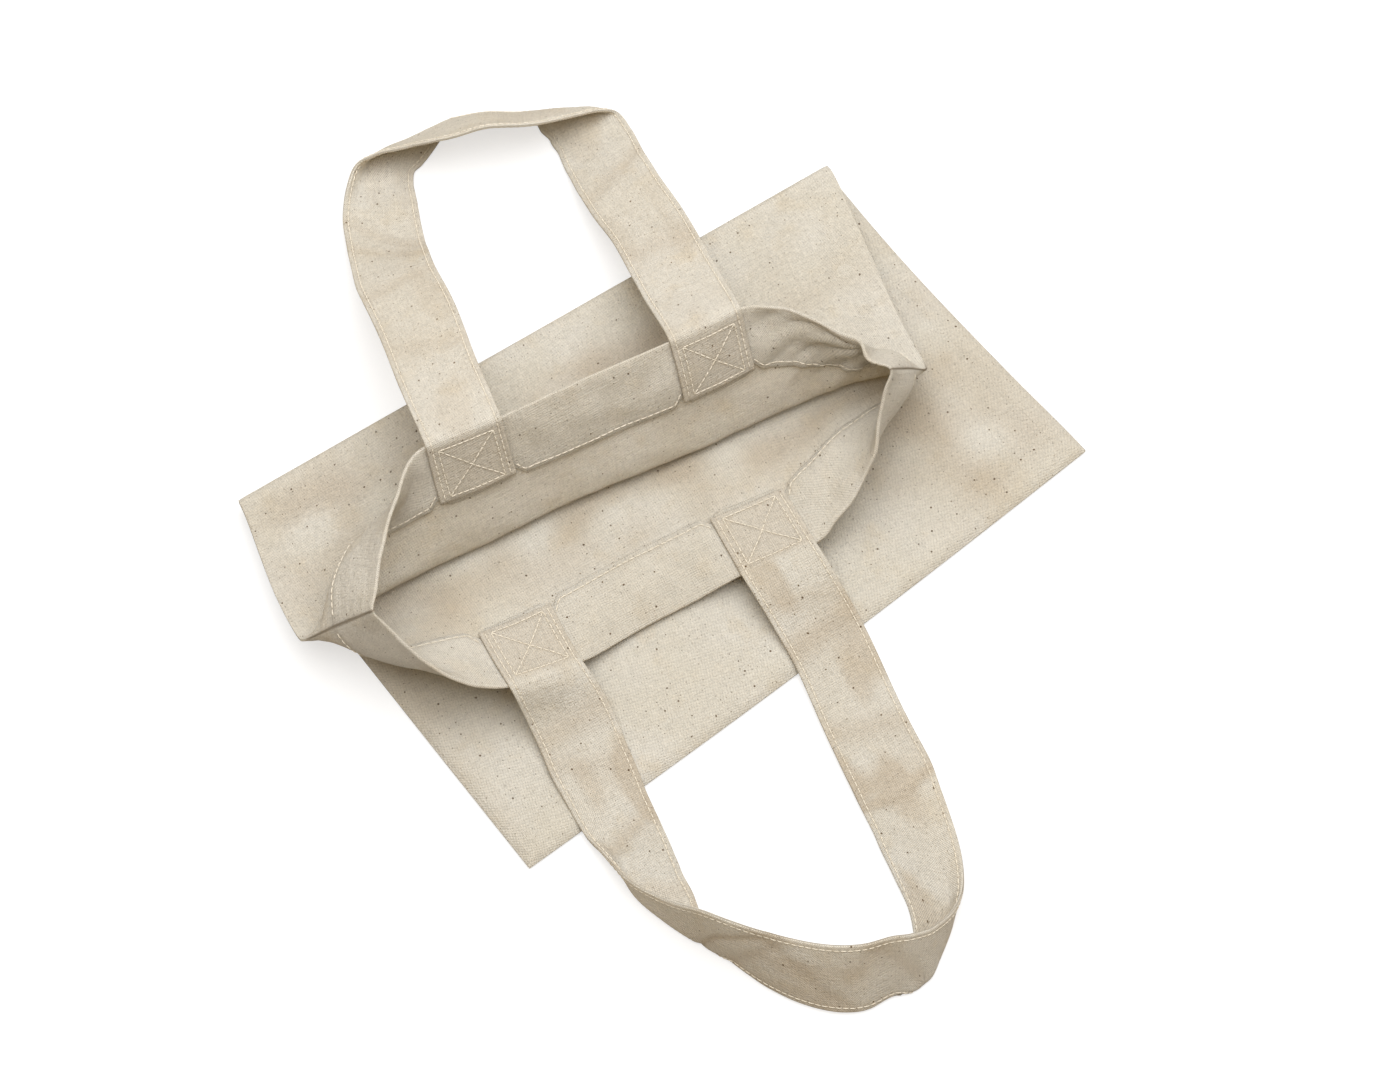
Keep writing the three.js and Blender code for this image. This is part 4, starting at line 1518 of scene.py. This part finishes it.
@dataclass
class Handle:
    """A strap whose two ends are sewn inside a hem, and whose loop lies on the table.

    Attributes:
        panel: The panel it is sewn to.
        lie: Sections of the loop from left to right, each a place on the strap's inner edge, one where the
            strap is bent along its length, and one on its outer edge.
        outward_side: 1 where the loop lies behind the hem, -1 where it lies before it.
        creases: Creases across the loop.
        patchy: How strongly the strap shows soft patches of painted shade, from 0 to 1.
        step: Length of the strap from one row of its grid to the next.
        middle: Places of the strap's middle surface.
        faces: Unit vectors out of its face.
        hinge: The two places where the strap bends over the mouth's edge.
        outwards: The level way from the mouth's edge to the loop.
        tab_length: Length of a sewn end.
        length: Length of the whole strap.
    """

    panel: Panel
    lie: tuple[Section, ...]
    outward_side: int
    creases: tuple[Crease, ...]
    patchy: float
    step: float = 1.5
    middle: np.ndarray = field(init=False)
    faces: np.ndarray = field(init=False)
    hinge: np.ndarray = field(init=False)
    outwards: np.ndarray = field(init=False)
    tab_length: float = field(init=False)
    length: float = field(init=False)

    TAB_ALONG = (367.2, 373.0, 380.0, 387.0, 393.0, 397.5)
    HALF_SECTION = (*np.arange(0.0, 16.5, 1.2), 16.3, 17.2, 18.1, 19.0, 19.6, 19.95)
    OTHER_FACE = 60.0  # where the strap's second face starts on its flat cut, counted from the first
    PATTERN = {Side.BACK: 23.0, Side.FRONT: 17.0}  # which layer of the cloth's pattern is read
    STITCH_SHADE = 0.22
    # Painted shade on the sewn ends, where the layers let no light through.
    BOX_SHADE = 0.45
    CREASE_SHADE = 0.8
    PATCH_SEED = 61
    PATCH_WAVES = (26.0, 70.0, 9)  # shortest, longest and number of the waves in the patches
    EDGE_LINE = 17.2  # from the middle line to the stitches along the edges
    EDGE_GROOVE = 0.14  # how deep those stitches are drawn in
    GROOVE_WIDTH = 0.9
    SEWN_BOX = 14.4  # half the width of the sewn square
    BOX_START = 2.5  # from the strap's raw end to its sewn square
    BOX_END = 0.5  # from the sewn square to the end of the flat part
    BOX_PAST = 1.08  # share of the square's half sizes up to which it shades the cloth
    BOX_READINGS = 40
    BEND_PAST = 4.0  # from the sewn end's last section to where the strap bends over
    ROOT_SHARE = 0.22  # where the loop's first section lies between that bend and the loop
    ROOT_LIFT = 1.5
    EVENING = 6.0  # half the length over which the edges are evened out
    PULL = 0.27  # share of its reach by which the rounding draws the bend in
    ROUNDING = 3.5  # half the width over which a bend along the strap is spread
    ROUNDING_READINGS = 13
    SHORTEST = 0.5  # a part of a section shorter than this has no way of its own
    FREE = (12.0, 45.0)  # how far past the sewn end the waves begin, and are full
    WAVE_SEED = {Side.BACK: 52, Side.FRONT: 51}
    WAVES = (34.0, 90.0, 8)  # shortest, longest and number of the waves in the loop
    WAVE_HEIGHT = 0.55
    HINGE_REACH = (-2.0, 6.0)  # from the hinge to where the loop would start to move, and move fully; these places are worked out but not used

    @property
    def body(self) -> str:
        """Name of the handle, used in the names of its pieces and of the model's parts it hides."""
        return f"{self.panel.drape.side.value}_handle"

    @property
    def out(self) -> np.ndarray:
        """Distances of the grid's columns from the strap's middle line, the outer edge last."""
        half = np.array(self.HALF_SECTION)
        return np.concatenate([-half[::-1], half[1:]])

    def _tab(self, middle: float, outer: int) -> np.ndarray:
        """Sections of a sewn end from its raw end up to the mouth.

        Args:
            middle: Distance of the end's middle from the left seam.
            outer: 1 where the strap's outer edge is on the right, -1 where it is on the left.

        Returns:
            Sections by inner edge, middle and outer edge, by axes.
        """
        along = np.array(self.TAB_ALONG)
        depth = self.panel.hem_gap + CUT.cloth / 2 + CUT.strap_thickness / 2 + HAIR
        marks = [middle + outer * side * CUT.strap_width / 2 for side in (-1, 0, 1)]
        lines = [self.panel.on_hem(np.full_like(along, mark), along, depth) for mark in marks]
        return np.stack(lines, axis=1)

    def _sections(self) -> np.ndarray:
        """All sections from one raw end to the other.

        Returns:
            Sections by inner edge, bend and outer edge, by axes.
        """
        loop = np.array(self.lie, dtype=float)
        ends, bends = [], []
        for middle, outer, nearest in zip(self.panel.strap_middles, (-1, 1), (loop[0], loop[-1])):
            tab = self._tab(middle, outer)
            bend = tab[-1] + self.BEND_PAST * unit(tab[-1] - tab[-2])
            root = bend + self.ROOT_SHARE * (nearest - bend) + self.ROOT_LIFT * UP
            ends.append(np.concatenate([tab, bend[None], root[None]]))
            bends.append(bend[1])
        self.hinge = np.array(bends)
        along = unit((self.hinge[1] - self.hinge[0]) * np.array([1.0, 1.0, 0.0]))
        self.outwards = np.cross(UP, along) * self.outward_side
        self.tab_length = float(np.linalg.norm(np.diff(ends[0][:-2, 1], axis=0), axis=1).sum())
        return np.concatenate([ends[0], loop, ends[1][::-1]])

    def _across(self, inner: np.ndarray, bend: np.ndarray, outer: np.ndarray, out: float) -> np.ndarray:
        """Points at one distance from the middle line, with the bend along the strap rounded.

        Args:
            inner: Places on the inner edge.
            bend: Places on the bend.
            outer: Places on the outer edge.
            out: Distance from the middle line towards the outer edge.

        Returns:
            One point per section.
        """
        whole = unit(outer - inner)
        low = np.linalg.norm(bend - inner, axis=1, keepdims=True)
        high = np.linalg.norm(outer - bend, axis=1, keepdims=True)
        low_way = np.where(low > self.SHORTEST, unit(bend - inner), whole)
        high_way = np.where(high > self.SHORTEST, unit(outer - bend), whole)
        place = (out / CUT.strap_width + 0.5) * (low + high) - low
        reach = np.minimum(self.ROUNDING, np.minimum(low, high))
        moved = [place + part * reach for part in np.linspace(-1.0, 1.0, self.ROUNDING_READINGS)]
        rounded = sum(np.where(part < 0, low_way, high_way) * part for part in moved) / len(moved)
        pulled = (high_way - low_way) * reach * self.PULL * np.exp(-((place / (2.0 * self.ROUNDING)) ** 2))
        return bend + rounded - pulled

    def trace(self) -> None:
        """Finds the strap's middle surface and the way out of its face, as grids of rows and columns."""
        sections = self._sections()
        centre = Line((sections[:, 0] + sections[:, 2]) / 2)
        self.length = centre.length
        count = round(centre.length / self.step)
        shares = centre.share_at(np.linspace(0.0, centre.length, count + 1))
        bend = catmull(np.repeat(sections[None, :, 1], len(shares), axis=0), shares)
        inner, outer = (bend + self._from_bend(sections, shares, side) for side in (0, 2))
        self.middle = np.stack([self._across(inner, bend, outer, out) for out in self.out], axis=1)
        self.faces = self._face_ways()
        self._settle()
        self.faces = self._face_ways()

    def _from_bend(self, sections: np.ndarray, shares: np.ndarray, side: int) -> np.ndarray:
        """Ways from the bend to the inner or outer edge, evened out along the strap.

        Args:
            sections: All sections.
            shares: Shares of the sections passed.
            side: 0 for the inner edge, 2 for the outer one.

        Returns:
            One way per share.
        """
        apart = sections[:, side] - sections[:, 1]
        knots = np.arange(len(sections))
        reach = round(self.EVENING / self.step)
        ways = []
        for axis in range(3):
            way = np.pad(np.interp(shares * knots[-1], knots, apart[:, axis]), reach, mode="edge")
            ways.append(np.convolve(way, np.full(2 * reach + 1, 1.0 / (2 * reach + 1)), mode="valid"))
        return np.stack(ways, axis=1)

    def _face_ways(self) -> np.ndarray:
        """Unit vectors out of the strap's face.

        Returns:
            Rows by columns by axes.
        """
        onwards = np.gradient(self.middle, axis=0)
        across = np.gradient(self.middle, self.out, axis=1)
        return unit(np.cross(onwards, across))

    def _settle(self) -> None:
        """Gives the free loop slight waves, and keeps it above the table."""
        travelled = np.linspace(0.0, self.length, len(self.middle))[:, None]
        out = self.out[None, :]
        low, high = (self.tab_length + past for past in self.FREE)
        free = smooth(low, high, np.minimum(travelled, self.length - travelled))
        wave = Ripple(self.WAVE_SEED[self.panel.drape.side], *self.WAVES).at(travelled, out * 0.8)
        inside = 1.0 - 0.75 * smooth(11.0, 19.0, np.abs(out))
        lift = free * (self.WAVE_HEIGHT * wave - inside * self._creases(travelled, out))
        self.middle = self.middle + lift[..., None] * self.faces
        lowest = CUT.strap_thickness / 2 + HAIR
        self.middle[..., 2] = np.maximum(self.middle[..., 2], lowest)

    def _creases(self, travelled: np.ndarray, out: np.ndarray) -> np.ndarray:
        """Depth of the creases across the strap, in millimetres."""
        return sum(crease.at(travelled, out) for crease in self.creases)

    def _half_thickness(self, out: np.ndarray) -> np.ndarray:
        """Half the strap's thickness.

        Args:
            out: Distances from its middle line.

        Returns:
            Distances in millimetres.
        """
        half, edge = CUT.strap_thickness / 2, CUT.strap_width / 2
        round_edge = np.sqrt(np.clip(1.0 - (np.maximum(out - (edge - half), 0.0) / half) ** 2, 0.0, 1.0))
        groove = self.EDGE_GROOVE * np.exp(-(((out - self.EDGE_LINE) / self.GROOVE_WIDTH) ** 2))
        return half * round_edge - groove

    def _on_face(self, out: np.ndarray, rows: np.ndarray, side: int) -> tuple[np.ndarray, np.ndarray]:
        """Points on one face of the strap.

        Args:
            out: Distance of each point from the middle line, towards the outer edge.
            rows: Place of each point along the strap, in steps.
            side: 1 for the face that the face ways point out of, -1 for the other.

        Returns:
            The points and the unit vectors out of that face.
        """
        columns = np.interp(out, self.out, np.arange(len(self.out)))
        way = side * unit(read_grid(self.faces, rows, columns))
        half = self._half_thickness(np.abs(out))[:, None]
        return read_grid(self.middle, rows, columns) + half * way, way

    def build(self, material: bpy.types.Material) -> bpy.types.Object:
        """Makes the strap.

        Args:
            material: The cloth.

        Returns:
            The piece.
        """
        thick = self._half_thickness(np.abs(self.out))[None, :, None] * self.faces
        upper, under = self.middle + thick, self.middle - thick
        rings = np.concatenate([upper, under[:, ::-1], upper[:, :1]], axis=1)
        round_cut = np.concatenate([self.out, self.OTHER_FACE + self.out[::-1], self.out[:1]])
        travelled = np.arange(len(rings)) * self.step
        layer = np.float64(self.PATTERN[self.panel.drape.side])
        cloth = np.stack(np.broadcast_arrays(round_cut[None, :], travelled[:, None], layer), axis=-1)
        piece = grid_object(f"{self.body}_strap", rings, cloth, self._tones(cloth), closed=True)
        dress(piece, material)
        self.bend(piece)
        name = self.body
        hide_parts(f"{name}_left_end", f"{name}_right_end", f"{name}_loop")
        return piece

    def _tones(self, cloth: np.ndarray) -> np.ndarray:
        """How layered, how near a stitch line and how shaded the strap is, each painted as shade.

        Args:
            cloth: Places on the flat cut.

        Returns:
            Three shares from 0 to 1 per place.
        """
        along, out = cloth[..., 1], self._out_of(cloth)
        travelled = np.minimum(along, self.length - along)
        layered = 1.0 - smooth(self.tab_length - 1.0, self.tab_length + 4.0, travelled)
        cloud = Ripple(self.PATCH_SEED, *self.PATCH_WAVES).at(cloth[..., 0] * 1.1, along * 0.8)
        # Painted shade: random soft patches, the creases, and the sewn ends.
        painted_shade = self.patchy * smooth(0.1, 1.1, cloud)
        patch_and_crease_shade = np.clip(painted_shade + self.CREASE_SHADE * np.abs(self._creases(along, out)), 0.0, 1.0)
        # Painted shade along the stitch lines by the edges and on the sewn squares.
        edges = 1.0 - smooth(0.4, 1.2, np.abs(np.abs(out) - self.EDGE_LINE))
        boxes = 1.0 - smooth(0.5, 1.4, self._from_box(out, travelled))
        sewn = self.STITCH_SHADE * np.maximum(edges, boxes)
        shaded = patch_and_crease_shade * (1.0 - layered) + self.BOX_SHADE * layered
        return np.stack([layered, sewn, shaded], axis=-1)

    def _from_box(self, out: np.ndarray, travelled: np.ndarray) -> np.ndarray:
        """Distance from the nearest line of the square and cross sewn on a strap's end.

        Args:
            out: Distances from the middle line.
            travelled: Distances from the nearer raw end.

        Returns:
            Distances in millimetres.
        """
        low, high = self.BOX_START, self.tab_length - self.BOX_END
        half, middle = (high - low) / 2, (high + low) / 2
        x, y = np.abs(out) / self.SEWN_BOX, np.abs(travelled - middle) / half
        inside = np.minimum(np.abs(x - 1.0) * self.SEWN_BOX, np.abs(y - 1.0) * half)
        cross = np.abs(x - y) * self.SEWN_BOX * half / math.hypot(self.SEWN_BOX, half)
        near = (x < self.BOX_PAST) & (y < self.BOX_PAST)
        return np.where(near, np.minimum(inside, cross), CUT.strap_width)

    def _out_of(self, cloth: np.ndarray) -> np.ndarray:
        """Distance from the strap's middle line, from places on its flat cut."""
        return np.where(cloth[..., 0] > CUT.strap_width / 2, cloth[..., 0] - self.OTHER_FACE, cloth[..., 0])

    def bend(self, piece: bpy.types.Object) -> None:
        """Bakes a piece's place into its mesh; where it would turn past the mouth's edge is worked out but
        not used.

        Args:
            piece: The strap or its stitches.
        """
        middle = self.hinge.mean(axis=0)
        start, end = (to_row(middle + self.outwards * reach) for reach in self.HINGE_REACH)
        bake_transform(piece)

    def sew(self, material: bpy.types.Material) -> bpy.types.Object:
        """Makes the stitches along both edges and the crossed boxes on both sewn ends.

        Args:
            material: The thread.

        Returns:
            The piece.
        """
        sewing = Stitches(f"{self.body}_stitches", pitch=3.3, length=3.0, radius=0.28)
        rows = np.arange(1.0, len(self.middle) - 2.0, 0.5)
        for side in (1, -1):
            for edge in (-1, 1):
                sewing.run(*self._on_face(np.full_like(rows, edge * self.EDGE_LINE), rows, side))
        last = len(self.middle) - 1
        low, high = self.BOX_START / self.step, (self.tab_length - self.BOX_END) / self.step
        for ends in ((low, high), (last - low, last - high)):
            self._sew_box(sewing, ends)
        piece = sewing.build(material, "strap_cloth")
        self.bend(piece)
        return piece

    def _sew_box(self, sewing: Stitches, ends: tuple[float, float]) -> None:
        """Adds a square of stitches with a cross in it to one sewn end.

        Args:
            sewing: The stitches to add to.
            ends: Rows at which the square starts and ends.
        """
        wide = self.SEWN_BOX
        low, high = ends
        corners = [(-wide, low), (wide, low), (wide, high), (-wide, high), (-wide, low), (wide, high)]
        lines = [*zip(corners[:-1], corners[1:]), ((-wide, high), (wide, low))]
        side = self._inner_side(ends)
        share = np.linspace(0.0, 1.0, self.BOX_READINGS)
        for (out_a, row_a), (out_b, row_b) in lines:
            sewing.run(*self._on_face(out_a + (out_b - out_a) * share, row_a + (row_b - row_a) * share, side))

    def _inner_side(self, ends: tuple[float, float]) -> int:
        """Which face of a sewn end looks into the bag.

        Args:
            ends: Rows at which its sewn square starts and ends.

        Returns:
            1 for the face that the face ways point out of, -1 for the other.
        """
        row = int(round(sum(ends) / 2))
        into_bag = -self.panel.hem_outward[len(self.panel.hem_outward) // 2, len(self.panel.columns) // 2]
        return 1 if float(self.faces[row, len(self.out) // 2] @ into_bag) > 0 else -1


BACK_LIE: tuple[Section, ...] = (
    ((126.5, 205, 62), (107, 210, 62), (87.5, 214.5, 62)),
    ((140, 242, 46), (120, 248, 46), (100, 252.8, 46)),
    ((150, 276.5, 28), (130, 283.5, 28), (110.6, 289.8, 28)),
    ((159.5, 301, 8.5), (139, 312, 8), (125, 322, 8.5)),
    ((170.5, 320.5, 3), (144, 335.5, 3), (135.5, 339.5, 4.5)),
    ((176.5, 333, 2), (152.5, 349, 2), (148, 352, 9)),
    ((181, 338, 1.5), (165.5, 359.5, 1), (157.5, 356, 11.5)),
    ((186, 340, 1), (178, 359.5, 1), (167.5, 354, 14.5)),
    ((194, 342.5, 1), (190, 357, 1), (177, 347, 18)),
    ((203.5, 346.5, 1), (203.5, 355, 1), (184.5, 340, 22)),
    ((216, 352, 1), (216, 352, 1), (193, 333.5, 27)),
    ((224, 348.5, 1), (224, 348.5, 1), (204, 328.5, 29)),
    ((233.5, 343.5, 1), (233.5, 343.5, 1), (216, 324, 31.5)),
    ((240.5, 338.5, 1), (240.5, 338.5, 1), (225, 318, 31.5)),
    ((248.5, 332.5, 1), (248.5, 332.5, 1), (235, 310.5, 31)),
    ((249, 325.5, 1), (258.5, 325.5, 1), (249, 307, 24.5)),
    ((248, 318, 1), (267.5, 318.5, 1), (263.5, 306, 16.5)),
    ((246.5, 311, 1), (277.5, 311, 1), (276.5, 304.5, 8.5)),
    ((245.5, 302.5, 1.5), (280, 304, 1.5), (285.5, 300.5, 3.5)),
    ((242.8, 289.2, 3), (272.5, 290, 3), (285.5, 288.6, 3.5)),
    ((236.2, 264.3, 13), (256.5, 262, 14.5), (277, 259.6, 15.5)),
    ((228.2, 228.3, 28), (248.5, 227, 28), (269, 225.1, 28)),
    ((213.7, 184.3, 52), (233.5, 180, 52), (253.3, 175.7, 52)),
)
FRONT_LIE: tuple[Section, ...] = (
    ((79.7, 42.6, 9.5), (60.2, 47.1, 9.5), (40.7, 52.1, 9.5)),
    ((72, 14.7, 5), (53, 21.2, 5), (34, 27.2, 5)),
    ((65, -14, 2), (36.5, -13, 2), (30.5, -6, 4)),
    ((60, -31.5, 1.5), (34.5, -23.5, 1), (29.5, -16.5, 7.5)),
    ((56.5, -47, 1), (31.5, -40, 1), (31.5, -35.5, 14)),
    ((53.5, -58, 1), (35, -59.5, 1), (36, -50, 20)),
    ((48, -73.5, 1), (40, -78, 1), (40.5, -63.5, 28)),
    ((46, -93.5, 1), (46, -93.5, 1), (45.5, -77, 37.5)),
    ((49.5, -105, 1), (49.5, -105, 1), (52.5, -87, 36.5)),
    ((53, -116.5, 1), (53, -116.5, 1), (60, -97.5, 35.5)),
    ((59.5, -130, 1), (59.5, -130, 1), (69.5, -110, 34)),
    ((72, -145.5, 1), (72, -145.5, 1), (83, -124.5, 33)),
    ((83, -153, 1), (83, -153, 1), (95, -133.5, 33.5)),
    ((95, -155.5, 1), (95, -155.5, 1), (106, -139.5, 36)),
    ((104, -157.5, 1), (103.5, -158.4, 1), (115, -143.5, 35)),
    ((115.5, -150, 1), (113, -158.6, 1), (123.5, -144.5, 29)),
    ((123, -138.5, 1), (123.5, -153.5, 1), (134, -144, 20)),
    ((129, -125, 1), (137, -146, 1), (143, -142, 12.5)),
    ((132, -112.2, 1.5), (146, -137, 1), (152.5, -137, 8)),
    ((136, -96.8, 2), (154.5, -119.5, 2), (164, -123.5, 5)),
    ((144.1, -68, 2), (164, -73.3, 2), (184, -78.8, 2)),
    ((150.5, -43.2, 2.5), (170, -47.7, 2.5), (189.6, -52.2, 2.5)),
    ((163.6, 5.1, 5.2), (183.6, 1.6, 5.2), (203.1, -1.4, 5.2)),
)

BACK_CREASES = (
    Crease(96.0, 0.25, 0.5, 7.0),
    Crease(150.0, -0.3, 0.5, 6.0),
    Crease(184.0, 0.5, 0.45, 6.0),
    Crease(198.0, 0.7, 0.5, 5.0),
    Crease(392.0, -0.4, 0.6, 6.0),
    Crease(455.0, 0.2, 0.5, 8.0),
)
FRONT_CREASES = (
    Crease(62.0, 0.2, 0.7, 7.0),
    Crease(84.0, -0.3, 0.5, 6.0),
    Crease(121.0, 0.35, 0.8, 5.0),
    Crease(150.0, -0.5, 0.6, 5.0),
    Crease(196.0, 1.5, 1.1, 4.5),
    Crease(214.0, 0.9, 0.7, 5.0),
    Crease(238.0, -1.1, 0.6, 6.0),
    Crease(262.0, 0.7, 0.5, 7.0),
    Crease(288.0, -0.9, 0.6, 6.0),
    Crease(385.0, 0.25, 1.2, 2.6),
    Crease(394.0, 0.1, 0.5, 8.0),
    Crease(420.0, -0.2, 0.6, 7.0),
    Crease(474.0, 0.2, 1.0, 8.0),
    Crease(492.0, -0.15, 0.5, 5.0),
)


@dataclass
class Studio:
    """The camera, the lamps and the white table.

    Attributes:
        azimuth: How far the view is turned from the bag's length, in degrees.
        elevation: How far the camera stands above the table, in degrees.
        target: The place in the bag's plan that the camera looks at, in millimetres.
        distance: From the camera to that place, in millimetres.
        lens: Focal length for a sensor 36 mm wide.
        ambient: Strength of the room's even light.
        room_colour: Colour of that light.
        key_power: Power of the lamp, in watts.
        key_size: Length of the lamp's sides, in metres.
        key_colour: Colour of the lamp's light.
        key_place: The lamp's place from the target: right and up in the picture, and height.
        table_white: How light the table is.
        table_glow: How much whiter it looks to the camera alone.
    """

    azimuth: float = 38.351
    elevation: float = 67.140
    target: tuple[float, float, float] = (171.17, 85.68, 0.0)
    distance: float = 1495.53
    lens: float = 77.14
    ambient: float = 0.41
    room_colour: tuple[float, float, float] = (1.0, 0.82, 0.58)
    key_power: float = 55.5
    key_size: float = 2.4
    key_colour: tuple[float, float, float] = (0.97, 1.0, 1.05)
    key_place: tuple[float, float, float] = (110.0, 360.0, 1750.0)
    table_white: float = 0.45
    table_glow: float = 0.60

    SENSOR = 36.0
    NEAREST = 0.05  # what is nearer to the camera isn't seen, in metres
    AIM_HEIGHT = 20.0  # height over the table at which the lamp is turned
    TABLE_HALF = 6.0  # half the table's side, in metres
    TABLE_TOP = -0.0002  # just under the bag

    def _plan(self, image_right: float, image_up: float, height: float) -> Vector:
        """A place counted from the target, in millimetres.

        Args:
            image_right: How far right in the picture.
            image_up: How far up in the picture.
            height: How far above the table.

        Returns:
            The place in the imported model's frame.
        """
        turn = math.radians(self.azimuth)
        right = np.array([math.cos(turn), -math.sin(turn), 0.0])
        away = np.array([math.sin(turn), math.cos(turn), 0.0])
        return Vector(to_row(np.array(self.target) + image_right * right + image_up * away + height * UP))

    def camera(self) -> None:
        """Places the camera."""
        rise = math.radians(self.elevation)
        lens = bpy.data.cameras.new("camera")
        lens.lens = self.lens
        lens.sensor_width = self.SENSOR
        lens.sensor_fit = "HORIZONTAL"
        lens.clip_start = self.NEAREST
        camera = bpy.data.objects.new("camera", lens)
        camera.location = self._plan(0.0, -self.distance * math.cos(rise), self.distance * math.sin(rise))
        aim = self._plan(0.0, 0.0, 0.0) - camera.location
        camera.rotation_euler = aim.to_track_quat("-Z", "Y").to_euler()
        bpy.context.scene.collection.objects.link(camera)
        bpy.context.scene.camera = camera

    def key(self) -> None:
        """Places the square soft lamp, turned to the bag."""
        light = bpy.data.lights.new("key", "AREA")
        light.energy = self.key_power
        light.color = self.key_colour
        light.size = self.key_size
        lamp = bpy.data.objects.new("key", light)
        lamp.location = self._plan(*self.key_place)
        aim = self._plan(0.0, 0.0, self.AIM_HEIGHT) - lamp.location
        lamp.rotation_euler = aim.to_track_quat("-Z", "Y").to_euler()
        bpy.context.scene.collection.objects.link(lamp)

    def light(self) -> None:
        """Sets the even light of the room and the soft lamp behind the bag."""
        world = bpy.data.worlds.new("room")
        world.use_nodes = True
        ground = world.node_tree.nodes["Background"]
        ground.inputs["Color"].default_value = (*self.room_colour, 1.0)
        ground.inputs["Strength"].default_value = self.ambient
        bpy.context.scene.world = world
        self.key()

    def floor(self) -> None:
        """Lays the white table, which keeps the bag's shadow."""
        sheet = bmesh.new()
        bmesh.ops.create_grid(sheet, x_segments=1, y_segments=1, size=self.TABLE_HALF)
        mesh = bpy.data.meshes.new("table_top")
        sheet.to_mesh(mesh)
        sheet.free()
        for vertex in mesh.vertices:
            vertex.co.z = self.TABLE_TOP
        top = bpy.data.objects.new("table_top", mesh)
        bpy.context.scene.collection.objects.link(top)
        graph = Graph("white_table")
        matt = graph.node("ShaderNodeBsdfDiffuse", {"Color": (*(self.table_white,) * 3, 1.0)})
        glow = graph.node("ShaderNodeEmission", {"Color": (1.0,) * 4, "Strength": self.table_glow})
        both = graph.node("ShaderNodeAddShader", {0: matt, 1: glow})
        seen = graph.node("ShaderNodeLightPath", {}, output="Is Camera Ray")
        mixed = graph.node("ShaderNodeMixShader", {0: seen, 1: matt, 2: both})
        top.data.materials.append(graph.surface(mixed))

    def build(self) -> None:
        """Sets up the whole studio."""
        bpy.context.scene.view_settings.view_transform = "Standard"
        self.camera()
        self.light()
        self.floor()


def allowances() -> list[Allowance]:
    """The three strips of seam allowance inside the bag.

    Returns:
        The left, the right and the bottom one.
    """
    inset, wide = CUT.allowance_inset, CUT.allowance_width
    inner = inset + wide
    left_top = CUT.fold_left + CUT.fold_run + 6.0
    right_top = CUT.fold_right + CUT.fold_run + 8.0
    start = 2 * inset + wide
    return [
        Allowance("left_seam_allowance", (inset, inner), (start, left_top)),
        Allowance("right_seam_allowance", (CUT.width - inner, CUT.width - inset), (start, right_top)),
        Allowance("bottom_seam_allowance", (inset, CUT.width - inset), (inset, inner)),
    ]


def report(piece: bpy.types.Object) -> bpy.types.Object:
    """Says in the log that a piece is made, and passes it on."""
    LOG.info("%s: %d faces", piece.name, len(piece.data.polygons))
    return piece


def main() -> None:
    """Builds the bag and the studio."""
    logging.basicConfig(level=logging.INFO, format="%(message)s")
    Studio().build()
    panel_cloth = Calico("calico").material()
    strap_cloth = Calico("strap_calico", ground=(0.768, 0.732, 0.640), coarse=1.1).material()
    thread = Thread().material()
    strips = [report(strip.build(panel_cloth)) for strip in allowances()]
    sides = (
        (BACK_DRAPE, 0.0, BACK_LIE, 1, BACK_CREASES, 0.35),
        (FRONT_DRAPE, -8.0, FRONT_LIE, -1, FRONT_CREASES, 0.8),
    )
    for drape, shift, lie, way, creases, patchy in sides:
        panel = Panel(drape, shift)
        sheet = report(panel.build(panel_cloth))
        hem = report(HemSewing(panel).build(thread))
        handle = Handle(panel, lie, way, creases, patchy)
        handle.trace()
        strap = report(handle.build(strap_cloth))
        sewing = report(handle.sew(thread))


if __name__ == "__main__":
    main()
